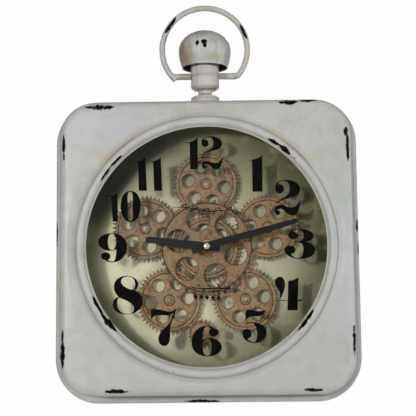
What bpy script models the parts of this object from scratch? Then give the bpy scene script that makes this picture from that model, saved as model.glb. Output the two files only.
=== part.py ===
"""Square wall clock in the style of a pocket watch, with a moving gear train behind its glass.

The case is a pressed-steel square shell with a turned bezel and glass in front, a rolled bead
frame and a cover behind, and a crown with a fixed bow on top. The dial plate hangs on four
posts behind the bezel. It carries five planet gears round a centre gear, a drive pinion with
its motor, and the clock movement whose hands stand in front of the gears.

Metres, +Z up, -Y is the front. The origin is on the hands' axis, on the plane of the wall.
"""

import math

import bmesh
import bpy

MM = 0.001
GAP = 0.3 * MM  # between pieces that touch
RING_STEPS = 48  # sides of the large coaxial rings, which nest facet to facet

# Case, measured back from the flat front face
CASE_DEPTH = 67.0 * MM  # flat front face to the wall
CASE_HALF = 180.0 * MM
CASE_CORNER_R = 44.0 * MM
CASE_EDGE_R = 11.0 * MM
SHEET = 1.5 * MM
SHELL_END = 58.0 * MM
BEAD_R = 5.6 * MM
BEAD_OUT = 5.9 * MM
BEAD_AT = 60.4 * MM
FLANGE_IN = 14.0 * MM
COVER_HALF = 176.5 * MM
COVER_CORNER_R = 40.0 * MM
COVER_AT = 60.2 * MM
COVER_T = 1.4 * MM

# Bezel and glass
BEZEL_GROOVE_R = 160.4 * MM
OPENING_R = 145.9 * MM
BEZEL_CREST = 5.0 * MM
GLASS_R = 155.8 * MM
GLASS_AT = 2.0 * MM
GLASS_T = 3.0 * MM

# Gear train: one module all through
TEETH = 48
PINION_TEETH = 20
PITCH_R = 40.0 * MM
MODULE = 2 * PITCH_R / TEETH
PINION_PITCH_R = MODULE * PINION_TEETH / 2
PLANET_CIRCLE_R = 2 * PITCH_R
PLANET_ANGLES = (90.0, 162.0, 234.0, 306.0, 18.0)
PLANET_TURNS = (48.75, 42.75, 6.75, 8.25, 54.75)
PINION_FROM_PLANET = 2  # the lower left planet is the driven one
PINION_DIRECTION = -46.5
PINION_TURN = 14.7
GEAR_T = 3.0 * MM
GEAR_AT = 34.2 * MM
FRONT_GEAR_AT = 28.2 * MM
FRONT_GEAR_TEETH = 36
FRONT_GEAR_R = 60.0 * MM
FRONT_GEAR_ROOT_R = 54.6 * MM

# Dial plate and what stands on it
DIAL_AT = 45.0 * MM
DIAL_T = 1.2 * MM
DIAL_HALF = 172.0 * MM
DIAL_CORNER_R = 36.0 * MM
POST_AT = 150.0 * MM

# Hands
MINUTE_TURN = 74.9
HOUR_TURN = 277.2
MINUTE_LENGTH = 116.0 * MM
HOUR_LENGTH = 75.5 * MM

# Crown, measured up from the case centre
CROWN_AT = 32.0 * MM  # back from the front face
BOW_R = 53.9 * MM
BOW_ROD_R = 3.6 * MM
BOW_CENTRE_Z = 251.5 * MM
BAR_R = 4.1 * MM
BAR_Z = 216.7 * MM
NECK_R = 17.8 * MM


def clear_scene():
    for obj in list(bpy.data.objects):
        bpy.data.objects.remove(obj, do_unlink=True)
    for block in (bpy.data.meshes, bpy.data.curves, bpy.data.materials):
        for item in list(block):
            block.remove(item)


clear_scene()
parts = bpy.data.collections.new("square_pocket_watch_wall_clock")
cutters = bpy.data.collections.new("cutters")
bpy.context.scene.collection.children.link(parts)
bpy.context.scene.collection.children.link(cutters)


def finish_of(name, colour, roughness, metallic, alpha=1.0):
    material = bpy.data.materials.new(name)
    material.use_nodes = True
    shader = material.node_tree.nodes["Principled BSDF"]
    shader.inputs["Base Color"].default_value = (*colour, 1.0)
    shader.inputs["Roughness"].default_value = roughness
    shader.inputs["Metallic"].default_value = metallic
    shader.inputs["Alpha"].default_value = alpha
    return material


WHITE = finish_of("aged_white_paint", (0.52, 0.52, 0.47), 0.5, 0.0)
GLASS = finish_of("clear_glass", (0.9, 0.95, 0.92), 0.03, 0.0, 0.3)
BLACK = finish_of("black_paint", (0.03, 0.03, 0.03), 0.5, 0.0)
STEEL = finish_of("zinc_plated_steel", (0.55, 0.55, 0.53), 0.35, 1.0)
RUBBER = finish_of("black_rubber", (0.02, 0.02, 0.02), 0.8, 0.0)
CREAM = finish_of("cream_dial_paint", (0.57, 0.57, 0.38), 0.6, 0.0)
COPPER = finish_of("antique_copper", (0.42, 0.24, 0.15), 0.45, 0.8)
BRASS = finish_of("brass", (0.6, 0.45, 0.2), 0.3, 1.0)
PLASTIC = finish_of("black_plastic", (0.025, 0.025, 0.025), 0.55, 0.0)
CELL = finish_of("battery_wrap", (0.08, 0.12, 0.16), 0.35, 0.3)
KNOB = finish_of("grey_plastic", (0.35, 0.35, 0.34), 0.5, 0.0)


def back(depth):
    """World y of a plane that lies this far behind the flat front face."""
    return depth - CASE_DEPTH


def add(name, data, material, location=(0, 0, 0), rotation=(0, 0, 0)):
    obj = bpy.data.objects.new(name, data)
    obj.location = location
    obj.rotation_euler = rotation
    parts.objects.link(obj)
    if material is not None:
        data.materials.append(material)
    return obj


def turned(name, profile, material, axis="Y", centre=(0.0, 0.0), steps=16, ring=False):
    """Turned piece. profile holds (radius, depth) or, about Z, (radius, height) pairs.

    About Y it runs from the front backwards on the outer side, about Z from the top down, and
    about X from the right-hand end to the left. A ring's profile closes on itself.
    """
    sign = -1.0 if axis == "Y" else 1.0
    mesh = bpy.data.meshes.new(name)
    points = [(r, 0.0, sign * (back(h) if axis == "Y" else h)) for r, h in profile]
    edges = [(i, i + 1) for i in range(len(points) - 1)]
    if ring:
        edges.append((len(points) - 1, 0))
    mesh.from_pydata(points, edges, [])
    if axis == "Y":
        place, turn = (centre[0], 0.0, centre[1]), (math.pi / 2, 0.0, 0.0)
    elif axis == "Z":
        place, turn = (centre[0], centre[1], 0.0), (0.0, 0.0, 0.0)
    else:
        place, turn = (0.0, centre[0], centre[1]), (0.0, math.pi / 2, 0.0)
    obj = add(name, mesh, material, place, turn)
    screw = obj.modifiers.new("Turn", "SCREW")
    screw.axis = "Z"
    screw.angle = 2 * math.pi
    screw.steps = steps
    screw.render_steps = steps
    screw.use_merge_vertices = True
    screw.merge_threshold = 0.00001
    screw.use_smooth_shade = True
    return obj


def circle(radius, count, centre=(0.0, 0.0), start=0.0):
    return [
        (
            centre[0] + radius * math.cos(start + 2 * math.pi * i / count),
            centre[1] + radius * math.sin(start + 2 * math.pi * i / count),
        )
        for i in range(count)
    ]


def rounded_box(half_x, half_z, radius, steps, centre=(0.0, 0.0)):
    """Outline of a rectangle with round corners, counter-clockwise."""
    points = []
    for corner, (sx, sz) in enumerate(((1, 1), (-1, 1), (-1, -1), (1, -1))):
        for i in range(steps + 1):
            angle = math.radians(90 * corner + 90 * i / steps)
            points.append(
                (
                    centre[0] + sx * (half_x - radius) + radius * math.cos(angle),
                    centre[1] + sz * (half_z - radius) + radius * math.sin(angle),
                )
            )
    return points


def plate(name, loops, depth, thickness, material, centre=(0.0, 0.0), turn=0.0):
    """Flat piece from an outline and its holes, in x and z, turned clockwise about its centre."""
    curve = bpy.data.curves.new(name, "CURVE")
    curve.dimensions = "2D"
    curve.fill_mode = "BOTH"
    curve.extrude = thickness / 2
    for loop in loops:
        spline = curve.splines.new("POLY")
        spline.points.add(len(loop) - 1)
        for point, (x, z) in zip(spline.points, loop):
            point.co = (x, z, 0.0, 1.0)
        spline.use_cyclic_u = True
    middle = back(depth + thickness / 2)
    return add(
        name,
        curve,
        material,
        (centre[0], middle, centre[1]),
        (math.pi / 2, math.radians(turn), 0.0),
    )


def as_mesh(obj):
    """The same piece as a welded mesh with its modifiers applied, in place of obj."""
    bpy.context.view_layer.update()
    graph = bpy.context.evaluated_depsgraph_get()
    mesh = bpy.data.meshes.new_from_object(obj.evaluated_get(graph))
    shape = bmesh.new()
    shape.from_mesh(mesh)
    bmesh.ops.remove_doubles(shape, verts=shape.verts, dist=0.00001)
    bmesh.ops.recalc_face_normals(shape, faces=shape.faces)
    shape.to_mesh(mesh)
    shape.free()
    name, matrix = obj.name, obj.matrix_world.copy()
    material = obj.data.materials[0] if obj.data.materials else None
    bpy.data.objects.remove(obj, do_unlink=True)
    mesh.name = name
    mesh.materials.clear()
    solid = add(name, mesh, material)
    solid.matrix_world = matrix
    return solid


def drum(shape, radius, low, high, axis, centre, steps=24):
    """Adds one cylinder to a bmesh, its flat ends at low and high along the axis."""
    made = bmesh.ops.create_cone(
        shape,
        cap_ends=True,
        segments=steps,
        radius1=radius,
        radius2=radius,
        depth=high - low,
    )["verts"]
    middle = (low + high) / 2
    for vert in made:
        x, y, z = vert.co
        if axis == "Y":
            vert.co = (centre[0] + x, middle + z, centre[1] - y)
        elif axis == "Z":
            vert.co = (centre[0] + x, centre[1] + y, middle + z)
        else:
            vert.co = (middle + z, centre[0] + y, centre[1] - x)


def block(shape, low, high):
    """Adds one box to a bmesh between two corners."""
    made = bmesh.ops.create_cube(shape, size=1.0)["verts"]
    for vert in made:
        vert.co = [
            low[i] + (high[i] - low[i]) * (vert.co[i] + 0.5) for i in range(3)
        ]


def cut(obj, fill):
    """Cuts from obj the cylinders and boxes that fill puts in a bmesh."""
    shape = bmesh.new()
    fill(shape)
    mesh = bpy.data.meshes.new(obj.name + "_cutter")
    shape.to_mesh(mesh)
    shape.free()
    cutter = bpy.data.objects.new(obj.name + "_cutter", mesh)
    cutter.hide_render = True
    cutter.display_type = "WIRE"
    cutters.objects.link(cutter)
    modifier = obj.modifiers.new("Cut", "BOOLEAN")
    modifier.operation = "DIFFERENCE"
    modifier.solver = "EXACT"
    modifier.object = cutter


def box_piece(name, low, high, material, bevel=0.0):
    shape = bmesh.new()
    block(shape, low, high)
    mesh = bpy.data.meshes.new(name)
    shape.to_mesh(mesh)
    shape.free()
    obj = add(name, mesh, material)
    if bevel:
        modifier = obj.modifiers.new("Edges", "BEVEL")
        modifier.width = bevel
        modifier.segments = 1
    return obj


# ---------------------------------------------------------------- case


def pressed_shell(name, half, radius, front, rear, edge, material, steps=6, round_steps=4):
    """Square tray of sheet metal, its open side at rear and its floor at front."""
    shape = bmesh.new()
    ring = [shape.verts.new((x, back(rear), z)) for x, z in rounded_box(half, half, radius, steps)]
    edges = [shape.edges.new((ring[i - 1], ring[i])) for i in range(len(ring))]
    wall = bmesh.ops.extrude_edge_only(shape, edges=edges)["geom"]
    moved = [item for item in wall if isinstance(item, bmesh.types.BMVert)]
    for vert in moved:
        vert.co.y = back(front)
    lip = [
        item
        for item in wall
        if isinstance(item, bmesh.types.BMEdge) and all(v in moved for v in item.verts)
    ]
    bmesh.ops.contextual_create(shape, geom=lip)
    bmesh.ops.recalc_face_normals(shape, faces=shape.faces)
    floor = max(shape.faces, key=lambda face: len(face.verts))
    floor.normal_update()
    if (floor.normal.y > 0) == (front < rear):
        bmesh.ops.reverse_faces(shape, faces=shape.faces)
    mesh = bpy.data.meshes.new(name)
    shape.to_mesh(mesh)
    shape.free()
    obj = add(name, mesh, material)
    rounding = obj.modifiers.new("Pressed edge", "BEVEL")
    rounding.limit_method = "ANGLE"
    rounding.angle_limit = math.radians(40)
    rounding.width = edge
    rounding.segments = round_steps
    wall = obj.modifiers.new("Sheet", "SOLIDIFY")
    wall.thickness = SHEET
    wall.offset = -1.0
    return obj


front_shell = pressed_shell(
    "front_shell", CASE_HALF, CASE_CORNER_R, 0.0, SHELL_END, CASE_EDGE_R, WHITE
)


def shell_openings(shape):
    drum(shape, BEZEL_GROOVE_R, back(-6 * MM), back(6 * MM), "Y", (0, 0), RING_STEPS)
    drum(shape, 3.4 * MM, 170 * MM, 190 * MM, "Z", (0, back(CROWN_AT)), 10)


cut(front_shell, shell_openings)

bezel_profile = [(BEZEL_GROOVE_R - GAP, 1.0 * MM), (BEZEL_GROOVE_R - GAP, 1.8 * MM)]
bezel_profile += [(166.0 * MM, 1.8 * MM), (166.0 * MM, 3.0 * MM), (156.2 * MM, 3.0 * MM)]
bezel_profile += [(156.2 * MM, 1.7 * MM), (148.6 * MM, 1.7 * MM), (OPENING_R, 1.2 * MM)]
crest_centre, crest_half = 152.6 * MM, 7.2 * MM
for i in range(6):
    angle = math.radians(180 - 36 * i)
    bezel_profile.append(
        (
            crest_centre + crest_half * math.cos(angle),
            0.6 * MM - (BEZEL_CREST + 0.6 * MM) * math.sin(angle),
        )
    )
bezel_ring = turned("bezel_ring", bezel_profile, WHITE, steps=RING_STEPS, ring=True)

glass = turned(
    "glass",
    [(0, GLASS_AT), (GLASS_R, GLASS_AT), (GLASS_R, GLASS_AT + GLASS_T), (0, GLASS_AT + GLASS_T)],
    GLASS,
    steps=RING_STEPS,
)
retainer_at = GLASS_AT + GLASS_T + GAP
turned(
    "glass_retainer",
    [
        (166.0 * MM, 3.3 * MM),
        (166.0 * MM, retainer_at + 1.6 * MM),
        (148.0 * MM, retainer_at + 1.6 * MM),
        (148.0 * MM, retainer_at),
        (156.1 * MM, retainer_at),
        (156.1 * MM, 3.3 * MM),
    ],
    BLACK,
    steps=RING_STEPS,
    ring=True,
)


def rear_frame_section():
    """Round bead with the flange that runs inwards from it, as (outward, back) pairs."""
    points = [(-FLANGE_IN, SHELL_END + GAP), (-FLANGE_IN, SHELL_END + GAP + 1.5 * MM)]
    for i in range(10):
        angle = math.radians(174 + 344 * i / 9)
        points.append(
            (BEAD_OUT + BEAD_R * math.cos(angle), BEAD_AT - BEAD_R * math.sin(angle))
        )
    return points


def swept_square(name, section, half, radius, steps, material):
    """Closed sweep of a section round the case's square outline."""
    shape = bmesh.new()
    rings = []
    for outward, depth in section:
        outline = rounded_box(half + outward, half + outward, radius + outward, steps)
        rings.append([shape.verts.new((x, back(depth), z)) for x, z in outline])
    for a, ring in enumerate(rings):
        after = rings[(a + 1) % len(rings)]
        for i in range(len(ring)):
            j = (i + 1) % len(ring)
            shape.faces.new((ring[i], ring[j], after[j], after[i]))
    bmesh.ops.recalc_face_normals(shape, faces=shape.faces)
    mesh = bpy.data.meshes.new(name)
    shape.to_mesh(mesh)
    shape.free()
    mesh.shade_smooth()
    return add(name, mesh, material)


rear_frame = swept_square(
    "rear_frame", rear_frame_section(), CASE_HALF, CASE_CORNER_R, 5, WHITE
)
COVER_SCREWS = [(sx * 171 * MM, sz * 110 * MM) for sx in (-1, 1) for sz in (1, -1)]


def frame_holes(shape):
    for x, z in COVER_SCREWS:
        drum(shape, 1.7 * MM, back(56 * MM), back(61 * MM), "Y", (x, z), 10)


cut(rear_frame, frame_holes)

# ---------------------------------------------------------------- back

WINDOW = (50.0 * MM, 55.0 * MM, (0.0, -21.0 * MM))  # half width, half height, centre
HANGER_Z = 140.0 * MM
BUMPERS = [(sx * 148 * MM, -148 * MM) for sx in (-1, 1)]
plate(
    "back_cover",
    [
        rounded_box(COVER_HALF, COVER_HALF, COVER_CORNER_R, 5),
        rounded_box(WINDOW[0], WINDOW[1], 4 * MM, 2, WINDOW[2]),
        circle(9.0 * MM, 16, (0.0, HANGER_Z)),
    ]
    + [circle(1.7 * MM, 10, spot) for spot in COVER_SCREWS],
    COVER_AT,
    COVER_T,
    BLACK,
)
seat = COVER_AT + COVER_T + GAP
for number, spot in enumerate(COVER_SCREWS, 1):
    turned(
        "cover_screw_%d" % number,
        [
            (0, 57.0 * MM),
            (1.3 * MM, 57.0 * MM),
            (1.3 * MM, seat),
            (3.2 * MM, seat),
            (2.6 * MM, seat + 1.7 * MM),
            (0, seat + 2.0 * MM),
        ],
        STEEL,
        centre=spot,
        steps=10,
    )
for number, spot in enumerate(BUMPERS, 1):
    turned(
        "bumper_%d" % number,
        [
            (0, seat),
            (8.0 * MM, seat),
            (7.0 * MM, CASE_DEPTH),
            (0, CASE_DEPTH),
        ],
        RUBBER,
        centre=spot,
        steps=16,
    )

# The hanger has a keyhole: the screw head enters low and the shank rises in the slot.
keyhole = []
for i in range(13):
    angle = math.radians(125 + 290 * i / 12)
    keyhole.append((5.0 * MM * math.cos(angle), HANGER_Z - 4 * MM + 5.0 * MM * math.sin(angle)))
for i in range(7):
    angle = math.radians(180 * i / 6)
    keyhole.append((2.3 * MM * math.cos(angle), HANGER_Z + 6 * MM + 2.3 * MM * math.sin(angle)))
plate(
    "hanger_plate",
    [rounded_box(26 * MM, 15 * MM, 5 * MM, 3, (0.0, HANGER_Z)), keyhole],
    seat,
    1.6 * MM,
    STEEL,
)


def service_lid():
    """Pressed lid over the movement and battery window, with a flat field on the wall plane."""
    shape = bmesh.new()
    outline = rounded_box(WINDOW[0] + 9 * MM, WINDOW[1] + 9 * MM, 7 * MM, 2, WINDOW[2])
    field = rounded_box(WINDOW[0] + 2 * MM, WINDOW[1] + 2 * MM, 5 * MM, 2, WINDOW[2])
    top = rounded_box(WINDOW[0] + 0.4 * MM, WINDOW[1] + 0.4 * MM, 4 * MM, 2, WINDOW[2])
    levels = [(outline, seat + 1.2 * MM), (field, seat + 1.2 * MM), (top, CASE_DEPTH)]
    rings = [[shape.verts.new((x, back(d), z)) for x, z in line] for line, d in levels]
    for low, high in zip(rings, rings[1:]):
        for i in range(len(low)):
            j = (i + 1) % len(low)
            shape.faces.new((low[i], low[j], high[j], high[i]))
    shape.faces.new(rings[-1])
    bmesh.ops.recalc_face_normals(shape, faces=shape.faces)
    field_face = max(shape.faces, key=lambda face: len(face.verts))
    field_face.normal_update()
    if field_face.normal.y < 0:
        bmesh.ops.reverse_faces(shape, faces=shape.faces)
    mesh = bpy.data.meshes.new("service_lid")
    shape.to_mesh(mesh)
    shape.free()
    obj = add("service_lid", mesh, PLASTIC)
    wall = obj.modifiers.new("Wall", "SOLIDIFY")
    wall.thickness = 1.2 * MM
    wall.offset = -1.0
    return obj


service_lid()

# ---------------------------------------------------------------- crown and bow

crown_y = back(CROWN_AT)
turned(
    "crown_base",
    [
        (8.6 * MM, 198.0 * MM),
        (8.0 * MM, 194.2 * MM),
        (14.5 * MM, 193.6 * MM),
        (17.2 * MM, 190.4 * MM),
        (17.6 * MM, 186.0 * MM),
        (17.6 * MM, 180.3 * MM),
        (3.4 * MM, 180.3 * MM),
        (3.4 * MM, 198.0 * MM),
    ],
    WHITE,
    axis="Z",
    centre=(0, crown_y),
    steps=20,
    ring=True,
)
turned(
    "crown_neck",
    [
        (20.4 * MM, 242.4 * MM),
        (19.6 * MM, 234.0 * MM),
        (17.3 * MM, 230.0 * MM),
        (NECK_R, 222.0 * MM),
        (NECK_R, 204.0 * MM),
        (16.6 * MM, 200.2 * MM),
        (12.5 * MM, 198.3 * MM),
        (3.4 * MM, 198.3 * MM),
        (3.4 * MM, 242.4 * MM),
    ],
    WHITE,
    axis="Z",
    centre=(0, crown_y),
    steps=20,
    ring=True,
)
dome_profile = [(0.0, 276.8 * MM)]
for i in range(1, 7):
    angle = math.radians(90 - 15 * i)
    dome_profile.append((33.0 * MM * math.cos(angle), (249.3 + 27.5 * math.sin(angle)) * MM))
dome_profile += [
    (32.4 * MM, 240.5 * MM),
    (30.6 * MM, 233.5 * MM),
    (28.4 * MM, 229.2 * MM),
    (26.2 * MM, 229.6 * MM),
    (28.4 * MM, 236.5 * MM),
    (28.4 * MM, 242.7 * MM),
    (3.4 * MM, 242.7 * MM),
    (3.4 * MM, 256.0 * MM),
    (0.0, 256.0 * MM),
]
turned("crown_dome", dome_profile, WHITE, axis="Z", centre=(0, crown_y), steps=20)
turned(
    "crown_stud",
    [(0, 255.0 * MM), (3.0 * MM, 255.0 * MM), (3.0 * MM, 168.0 * MM), (0, 168.0 * MM)],
    STEEL,
    axis="Z",
    centre=(0, crown_y),
    steps=10,
)
turned(
    "crown_nut",
    [
        (6.6 * MM, 178.2 * MM),
        (6.6 * MM, 173.0 * MM),
        (3.8 * MM, 173.0 * MM),
        (3.8 * MM, 178.2 * MM),
    ],
    STEEL,
    axis="Z",
    centre=(0, crown_y),
    steps=6,
    ring=True,
)


def bow():
    """Round rod bent to an arc, with two straight bars welded between its ends and the neck."""
    curve = bpy.data.curves.new("bow", "CURVE")
    curve.dimensions = "3D"
    curve.bevel_depth = BOW_ROD_R
    curve.bevel_resolution = 2
    curve.use_fill_caps = True
    spline = curve.splines.new("POLY")
    first, last, count = math.radians(-41.5), math.radians(226.5), 26
    spline.points.add(count)
    for i, point in enumerate(spline.points):
        angle = first + (last - first) * i / count
        point.co = (BOW_R * math.cos(angle), 0.0, BOW_R * math.sin(angle), 1.0)
    arc = as_mesh(add("bow", curve, WHITE, (0.0, crown_y, BOW_CENTRE_Z)))
    reach = math.sqrt(BOW_R**2 - (BAR_Z - BOW_CENTRE_Z) ** 2)
    shape = bmesh.new()
    for side in (-1, 1):
        ends = sorted((side * (NECK_R + GAP), side * (reach + 0.8 * MM)))
        drum(shape, BAR_R, ends[0], ends[1], "X", (crown_y, BAR_Z), 14)
    mesh = bpy.data.meshes.new("bow_bars")
    shape.to_mesh(mesh)
    shape.free()
    bars = bpy.data.objects.new("bow_bars", mesh)
    bars.hide_render = True
    bars.display_type = "WIRE"
    cutters.objects.link(bars)
    weld = arc.modifiers.new("Weld on the bars", "BOOLEAN")
    weld.operation = "UNION"
    weld.solver = "EXACT"
    weld.object = bars


bow()

# ---------------------------------------------------------------- gears


def polar(radius, degrees, centre=(0.0, 0.0)):
    angle = math.radians(degrees)
    return (centre[0] + radius * math.cos(angle), centre[1] + radius * math.sin(angle))


def toothed(count, root_r, tip_r, root_width, tip_width):
    """Outline of a gear whose first tooth points along +X."""
    points = []
    for k in range(count):
        middle = 2 * math.pi * k / count
        for radius, width, side in (
            (root_r, root_width, -1),
            (tip_r, tip_width, -1),
            (tip_r, tip_width, 1),
            (root_r, root_width, 1),
        ):
            angle = middle + side * math.asin(width / 2 / radius)
            points.append((radius * math.cos(angle), radius * math.sin(angle)))
    return points


PLANETS = [polar(PLANET_CIRCLE_R, angle) for angle in PLANET_ANGLES]
PINION = polar(
    PITCH_R + PINION_PITCH_R, PINION_DIRECTION, PLANETS[PINION_FROM_PLANET]
)
train_teeth = dict(root_width=2.75 * MM, tip_width=1.35 * MM)
wheel_outline = toothed(TEETH, PITCH_R - 2.0 * MM, PITCH_R + 1.45 * MM, **train_teeth)


def planet_wheel():
    """Wheel with six round windows and a raised hub, bored to run on its post."""
    loops = [wheel_outline, circle(5.2 * MM, 12)]
    loops += [circle(7.8 * MM, 10, polar(22.7 * MM, 60 * k)) for k in range(6)]
    wheel = as_mesh(plate("planet_gear_1", loops, GEAR_AT, GEAR_T, COPPER))
    hub = turned(
        "hub_blank",
        [
            (6.2 * MM, GEAR_AT - 0.9 * MM),
            (6.2 * MM, GEAR_AT + GEAR_T + 0.9 * MM),
            (3.05 * MM, GEAR_AT + GEAR_T + 0.9 * MM),
            (3.05 * MM, GEAR_AT - 0.9 * MM),
        ],
        COPPER,
        steps=12,
        ring=True,
    )
    hub.hide_render = True
    hub.display_type = "WIRE"
    parts.objects.unlink(hub)
    cutters.objects.link(hub)
    join = wheel.modifiers.new("Hub", "BOOLEAN")
    join.operation = "UNION"
    join.solver = "EXACT"
    join.object = hub
    return as_mesh(wheel)


first_planet = planet_wheel()
wheel_mesh = first_planet.data
wheel_middle = back(GEAR_AT + GEAR_T / 2)
bpy.data.objects.remove(first_planet, do_unlink=True)
for number, (spot, turn) in enumerate(zip(PLANETS, PLANET_TURNS), 1):
    add(
        "planet_gear_%d" % number,
        wheel_mesh,
        None,
        (spot[0], wheel_middle, spot[1]),
        (math.pi / 2, math.radians(-turn), 0.0),
    )

sun_loops = [wheel_outline, circle(7.5 * MM, 16)]
sun_loops += [circle(7.8 * MM, 10, polar(22.7 * MM, 42.0 + 60 * k)) for k in range(6)]
sun = as_mesh(plate("sun_gear", sun_loops, GEAR_AT, GEAR_T, COPPER))
sun_hub = turned(
    "sun_hub_blank",
    [
        (9.0 * MM, FRONT_GEAR_AT + GEAR_T + GAP),
        (9.0 * MM, GEAR_AT + 1.0 * MM),
        (8.2 * MM, GEAR_AT + GEAR_T + 0.1 * MM),
        (5.35 * MM, GEAR_AT + GEAR_T + 0.1 * MM),
        (5.35 * MM, FRONT_GEAR_AT + GEAR_T + GAP),
    ],
    COPPER,
    steps=16,
    ring=True,
)
sun_hub.hide_render = True
sun_hub.display_type = "WIRE"
parts.objects.unlink(sun_hub)
cutters.objects.link(sun_hub)
sun_join = sun.modifiers.new("Hub", "BOOLEAN")
sun_join.operation = "UNION"
sun_join.solver = "EXACT"
sun_join.object = sun_hub
front_loops = [
    toothed(FRONT_GEAR_TEETH, FRONT_GEAR_ROOT_R, FRONT_GEAR_R, 6.2 * MM, 3.6 * MM),
    circle(5.35 * MM, 16),
]
front_loops += [circle(14.2 * MM, 14, polar(36.2 * MM, 46.6 + 60 * k)) for k in range(6)]
plate("center_gear", front_loops, FRONT_GEAR_AT, GEAR_T, COPPER)

pinion = plate(
    "drive_pinion",
    [
        toothed(
            PINION_TEETH,
            PINION_PITCH_R - 2.0 * MM,
            PINION_PITCH_R + 1.45 * MM,
            2.7 * MM,
            1.25 * MM,
        ),
        circle(1.8 * MM, 12),
    ],
    GEAR_AT,
    GEAR_T,
    COPPER,
    PINION,
    -PINION_TURN,
)
turned(
    "pinion_shaft",
    [
        (0, GEAR_AT - 1.5 * MM),
        (3.0 * MM, GEAR_AT - 1.2 * MM),
        (3.0 * MM, GEAR_AT - GAP),
        (1.5 * MM, GEAR_AT - GAP),
        (1.5 * MM, 55.0 * MM),
        (0, 55.0 * MM),
    ],
    STEEL,
    centre=PINION,
    steps=12,
)

# ---------------------------------------------------------------- dial plate and posts

DIAL_POSTS = [(sx * POST_AT, sz * POST_AT) for sx in (-1, 1) for sz in (1, -1)]
plate(
    "dial_plate",
    [
        rounded_box(DIAL_HALF, DIAL_HALF, DIAL_CORNER_R, 5),
        circle(4.5 * MM, 16),
        circle(2.2 * MM, 8, PINION),
    ]
    + [circle(2.4 * MM, 8, spot) for spot in DIAL_POSTS + PLANETS],
    DIAL_AT,
    DIAL_T,
    CREAM,
)
riveted = DIAL_AT + DIAL_T + GAP
for number, spot in enumerate(DIAL_POSTS, 1):
    turned(
        "dial_post_%d" % number,
        [
            (0, SHEET + GAP),
            (7.0 * MM, SHEET + GAP),
            (7.0 * MM, 3.4 * MM),
            (4.0 * MM, 3.4 * MM),
            (4.0 * MM, DIAL_AT - GAP),
            (1.9 * MM, DIAL_AT - GAP),
            (1.9 * MM, riveted),
            (3.6 * MM, riveted),
            (2.8 * MM, riveted + 1.3 * MM),
            (0, riveted + 1.6 * MM),
        ],
        STEEL,
        centre=spot,
        steps=8,
    )
for number, spot in enumerate(PLANETS, 1):
    turned(
        "gear_post_%d" % number,
        [
            (0, GEAR_AT + 8.0 * MM),
            (1.5 * MM, GEAR_AT + 8.0 * MM),
            (1.5 * MM, GEAR_AT - 1.2 * MM),
            (2.85 * MM, GEAR_AT - 1.2 * MM),
            (2.85 * MM, GEAR_AT + GEAR_T + 1.1 * MM),
            (4.6 * MM, GEAR_AT + GEAR_T + 1.1 * MM),
            (4.6 * MM, DIAL_AT - GAP),
            (1.9 * MM, DIAL_AT - GAP),
            (1.9 * MM, riveted),
            (3.6 * MM, riveted),
            (2.8 * MM, riveted + 1.4 * MM),
            (0, riveted + 1.4 * MM),
        ],
        BRASS,
        centre=spot,
        steps=12,
    )
    turned(
        "gear_screw_%d" % number,
        [
            (0, GEAR_AT - 4.0 * MM),
            (2.4 * MM, GEAR_AT - 3.6 * MM),
            (3.8 * MM, GEAR_AT - 2.5 * MM),
            (3.8 * MM, GEAR_AT - 1.5 * MM),
            (1.2 * MM, GEAR_AT - 1.5 * MM),
            (1.2 * MM, GEAR_AT + 7.0 * MM),
            (0, GEAR_AT + 7.0 * MM),
        ],
        STEEL,
        centre=spot,
        steps=10,
    )

# ---------------------------------------------------------------- centre stack and movement

turned(
    "center_pillar",
    [
        (5.15 * MM, 27.4 * MM),
        (5.15 * MM, GEAR_AT + GEAR_T + GAP),
        (8.0 * MM, GEAR_AT + GEAR_T + GAP),
        (8.0 * MM, DIAL_AT - GAP),
        (4.35 * MM, DIAL_AT - GAP),
        (4.35 * MM, 27.4 * MM),
    ],
    BRASS,
    steps=16,
    ring=True,
)
turned(
    "movement_bushing",
    [
        (4.0 * MM, 15.0 * MM),
        (4.0 * MM, 50.0 * MM),
        (2.95 * MM, 50.0 * MM),
        (2.95 * MM, 15.0 * MM),
    ],
    BRASS,
    steps=16,
    ring=True,
)
turned(
    "collar_nut",
    [
        (8.4 * MM, 25.0 * MM),
        (8.4 * MM, 27.1 * MM),
        (4.35 * MM, 27.1 * MM),
        (4.35 * MM, 25.0 * MM),
    ],
    COPPER,
    steps=16,
    ring=True,
)

movement = box_piece(
    "movement_housing",
    (-28 * MM, back(46.5 * MM), -28 * MM),
    (28 * MM, back(62.0 * MM), 28 * MM),
    PLASTIC,
    1.5 * MM,
)


def movement_openings(shape):
    drum(shape, 4.4 * MM, back(40 * MM), back(70 * MM), "Y", (0, 0), 16)
    block(
        shape,
        (-26 * MM, back(47.3 * MM), -26.3 * MM),
        (26 * MM, back(70 * MM), -10.4 * MM),
    )


cut(movement, movement_openings)
CELL_Y = 54.8 * MM
for name, height in (("clock_battery", -18.4 * MM), ("gear_battery", -53.0 * MM)):
    turned(
        name,
        [
            (0, 25.2 * MM),
            (2.7 * MM, 25.2 * MM),
            (2.7 * MM, 24.0 * MM),
            (6.9 * MM, 24.0 * MM),
            (7.1 * MM, -25.0 * MM),
            (0, -25.0 * MM),
        ],
        CELL,
        axis="X",
        centre=(back(CELL_Y), height),
        steps=16,
    )
holder = box_piece(
    "battery_holder",
    (-29 * MM, back(46.5 * MM), -62.5 * MM),
    (29 * MM, back(60.0 * MM), -43.5 * MM),
    PLASTIC,
)


def holder_openings(shape):
    block(
        shape,
        (-27 * MM, back(47.4 * MM), -60.6 * MM),
        (27 * MM, back(66 * MM), -45.4 * MM),
    )


cut(holder, holder_openings)
switch = box_piece(
    "switch_body",
    (33 * MM, back(46.5 * MM), -62.0 * MM),
    (45 * MM, back(57.5 * MM), -44.0 * MM),
    PLASTIC,
)


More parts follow.
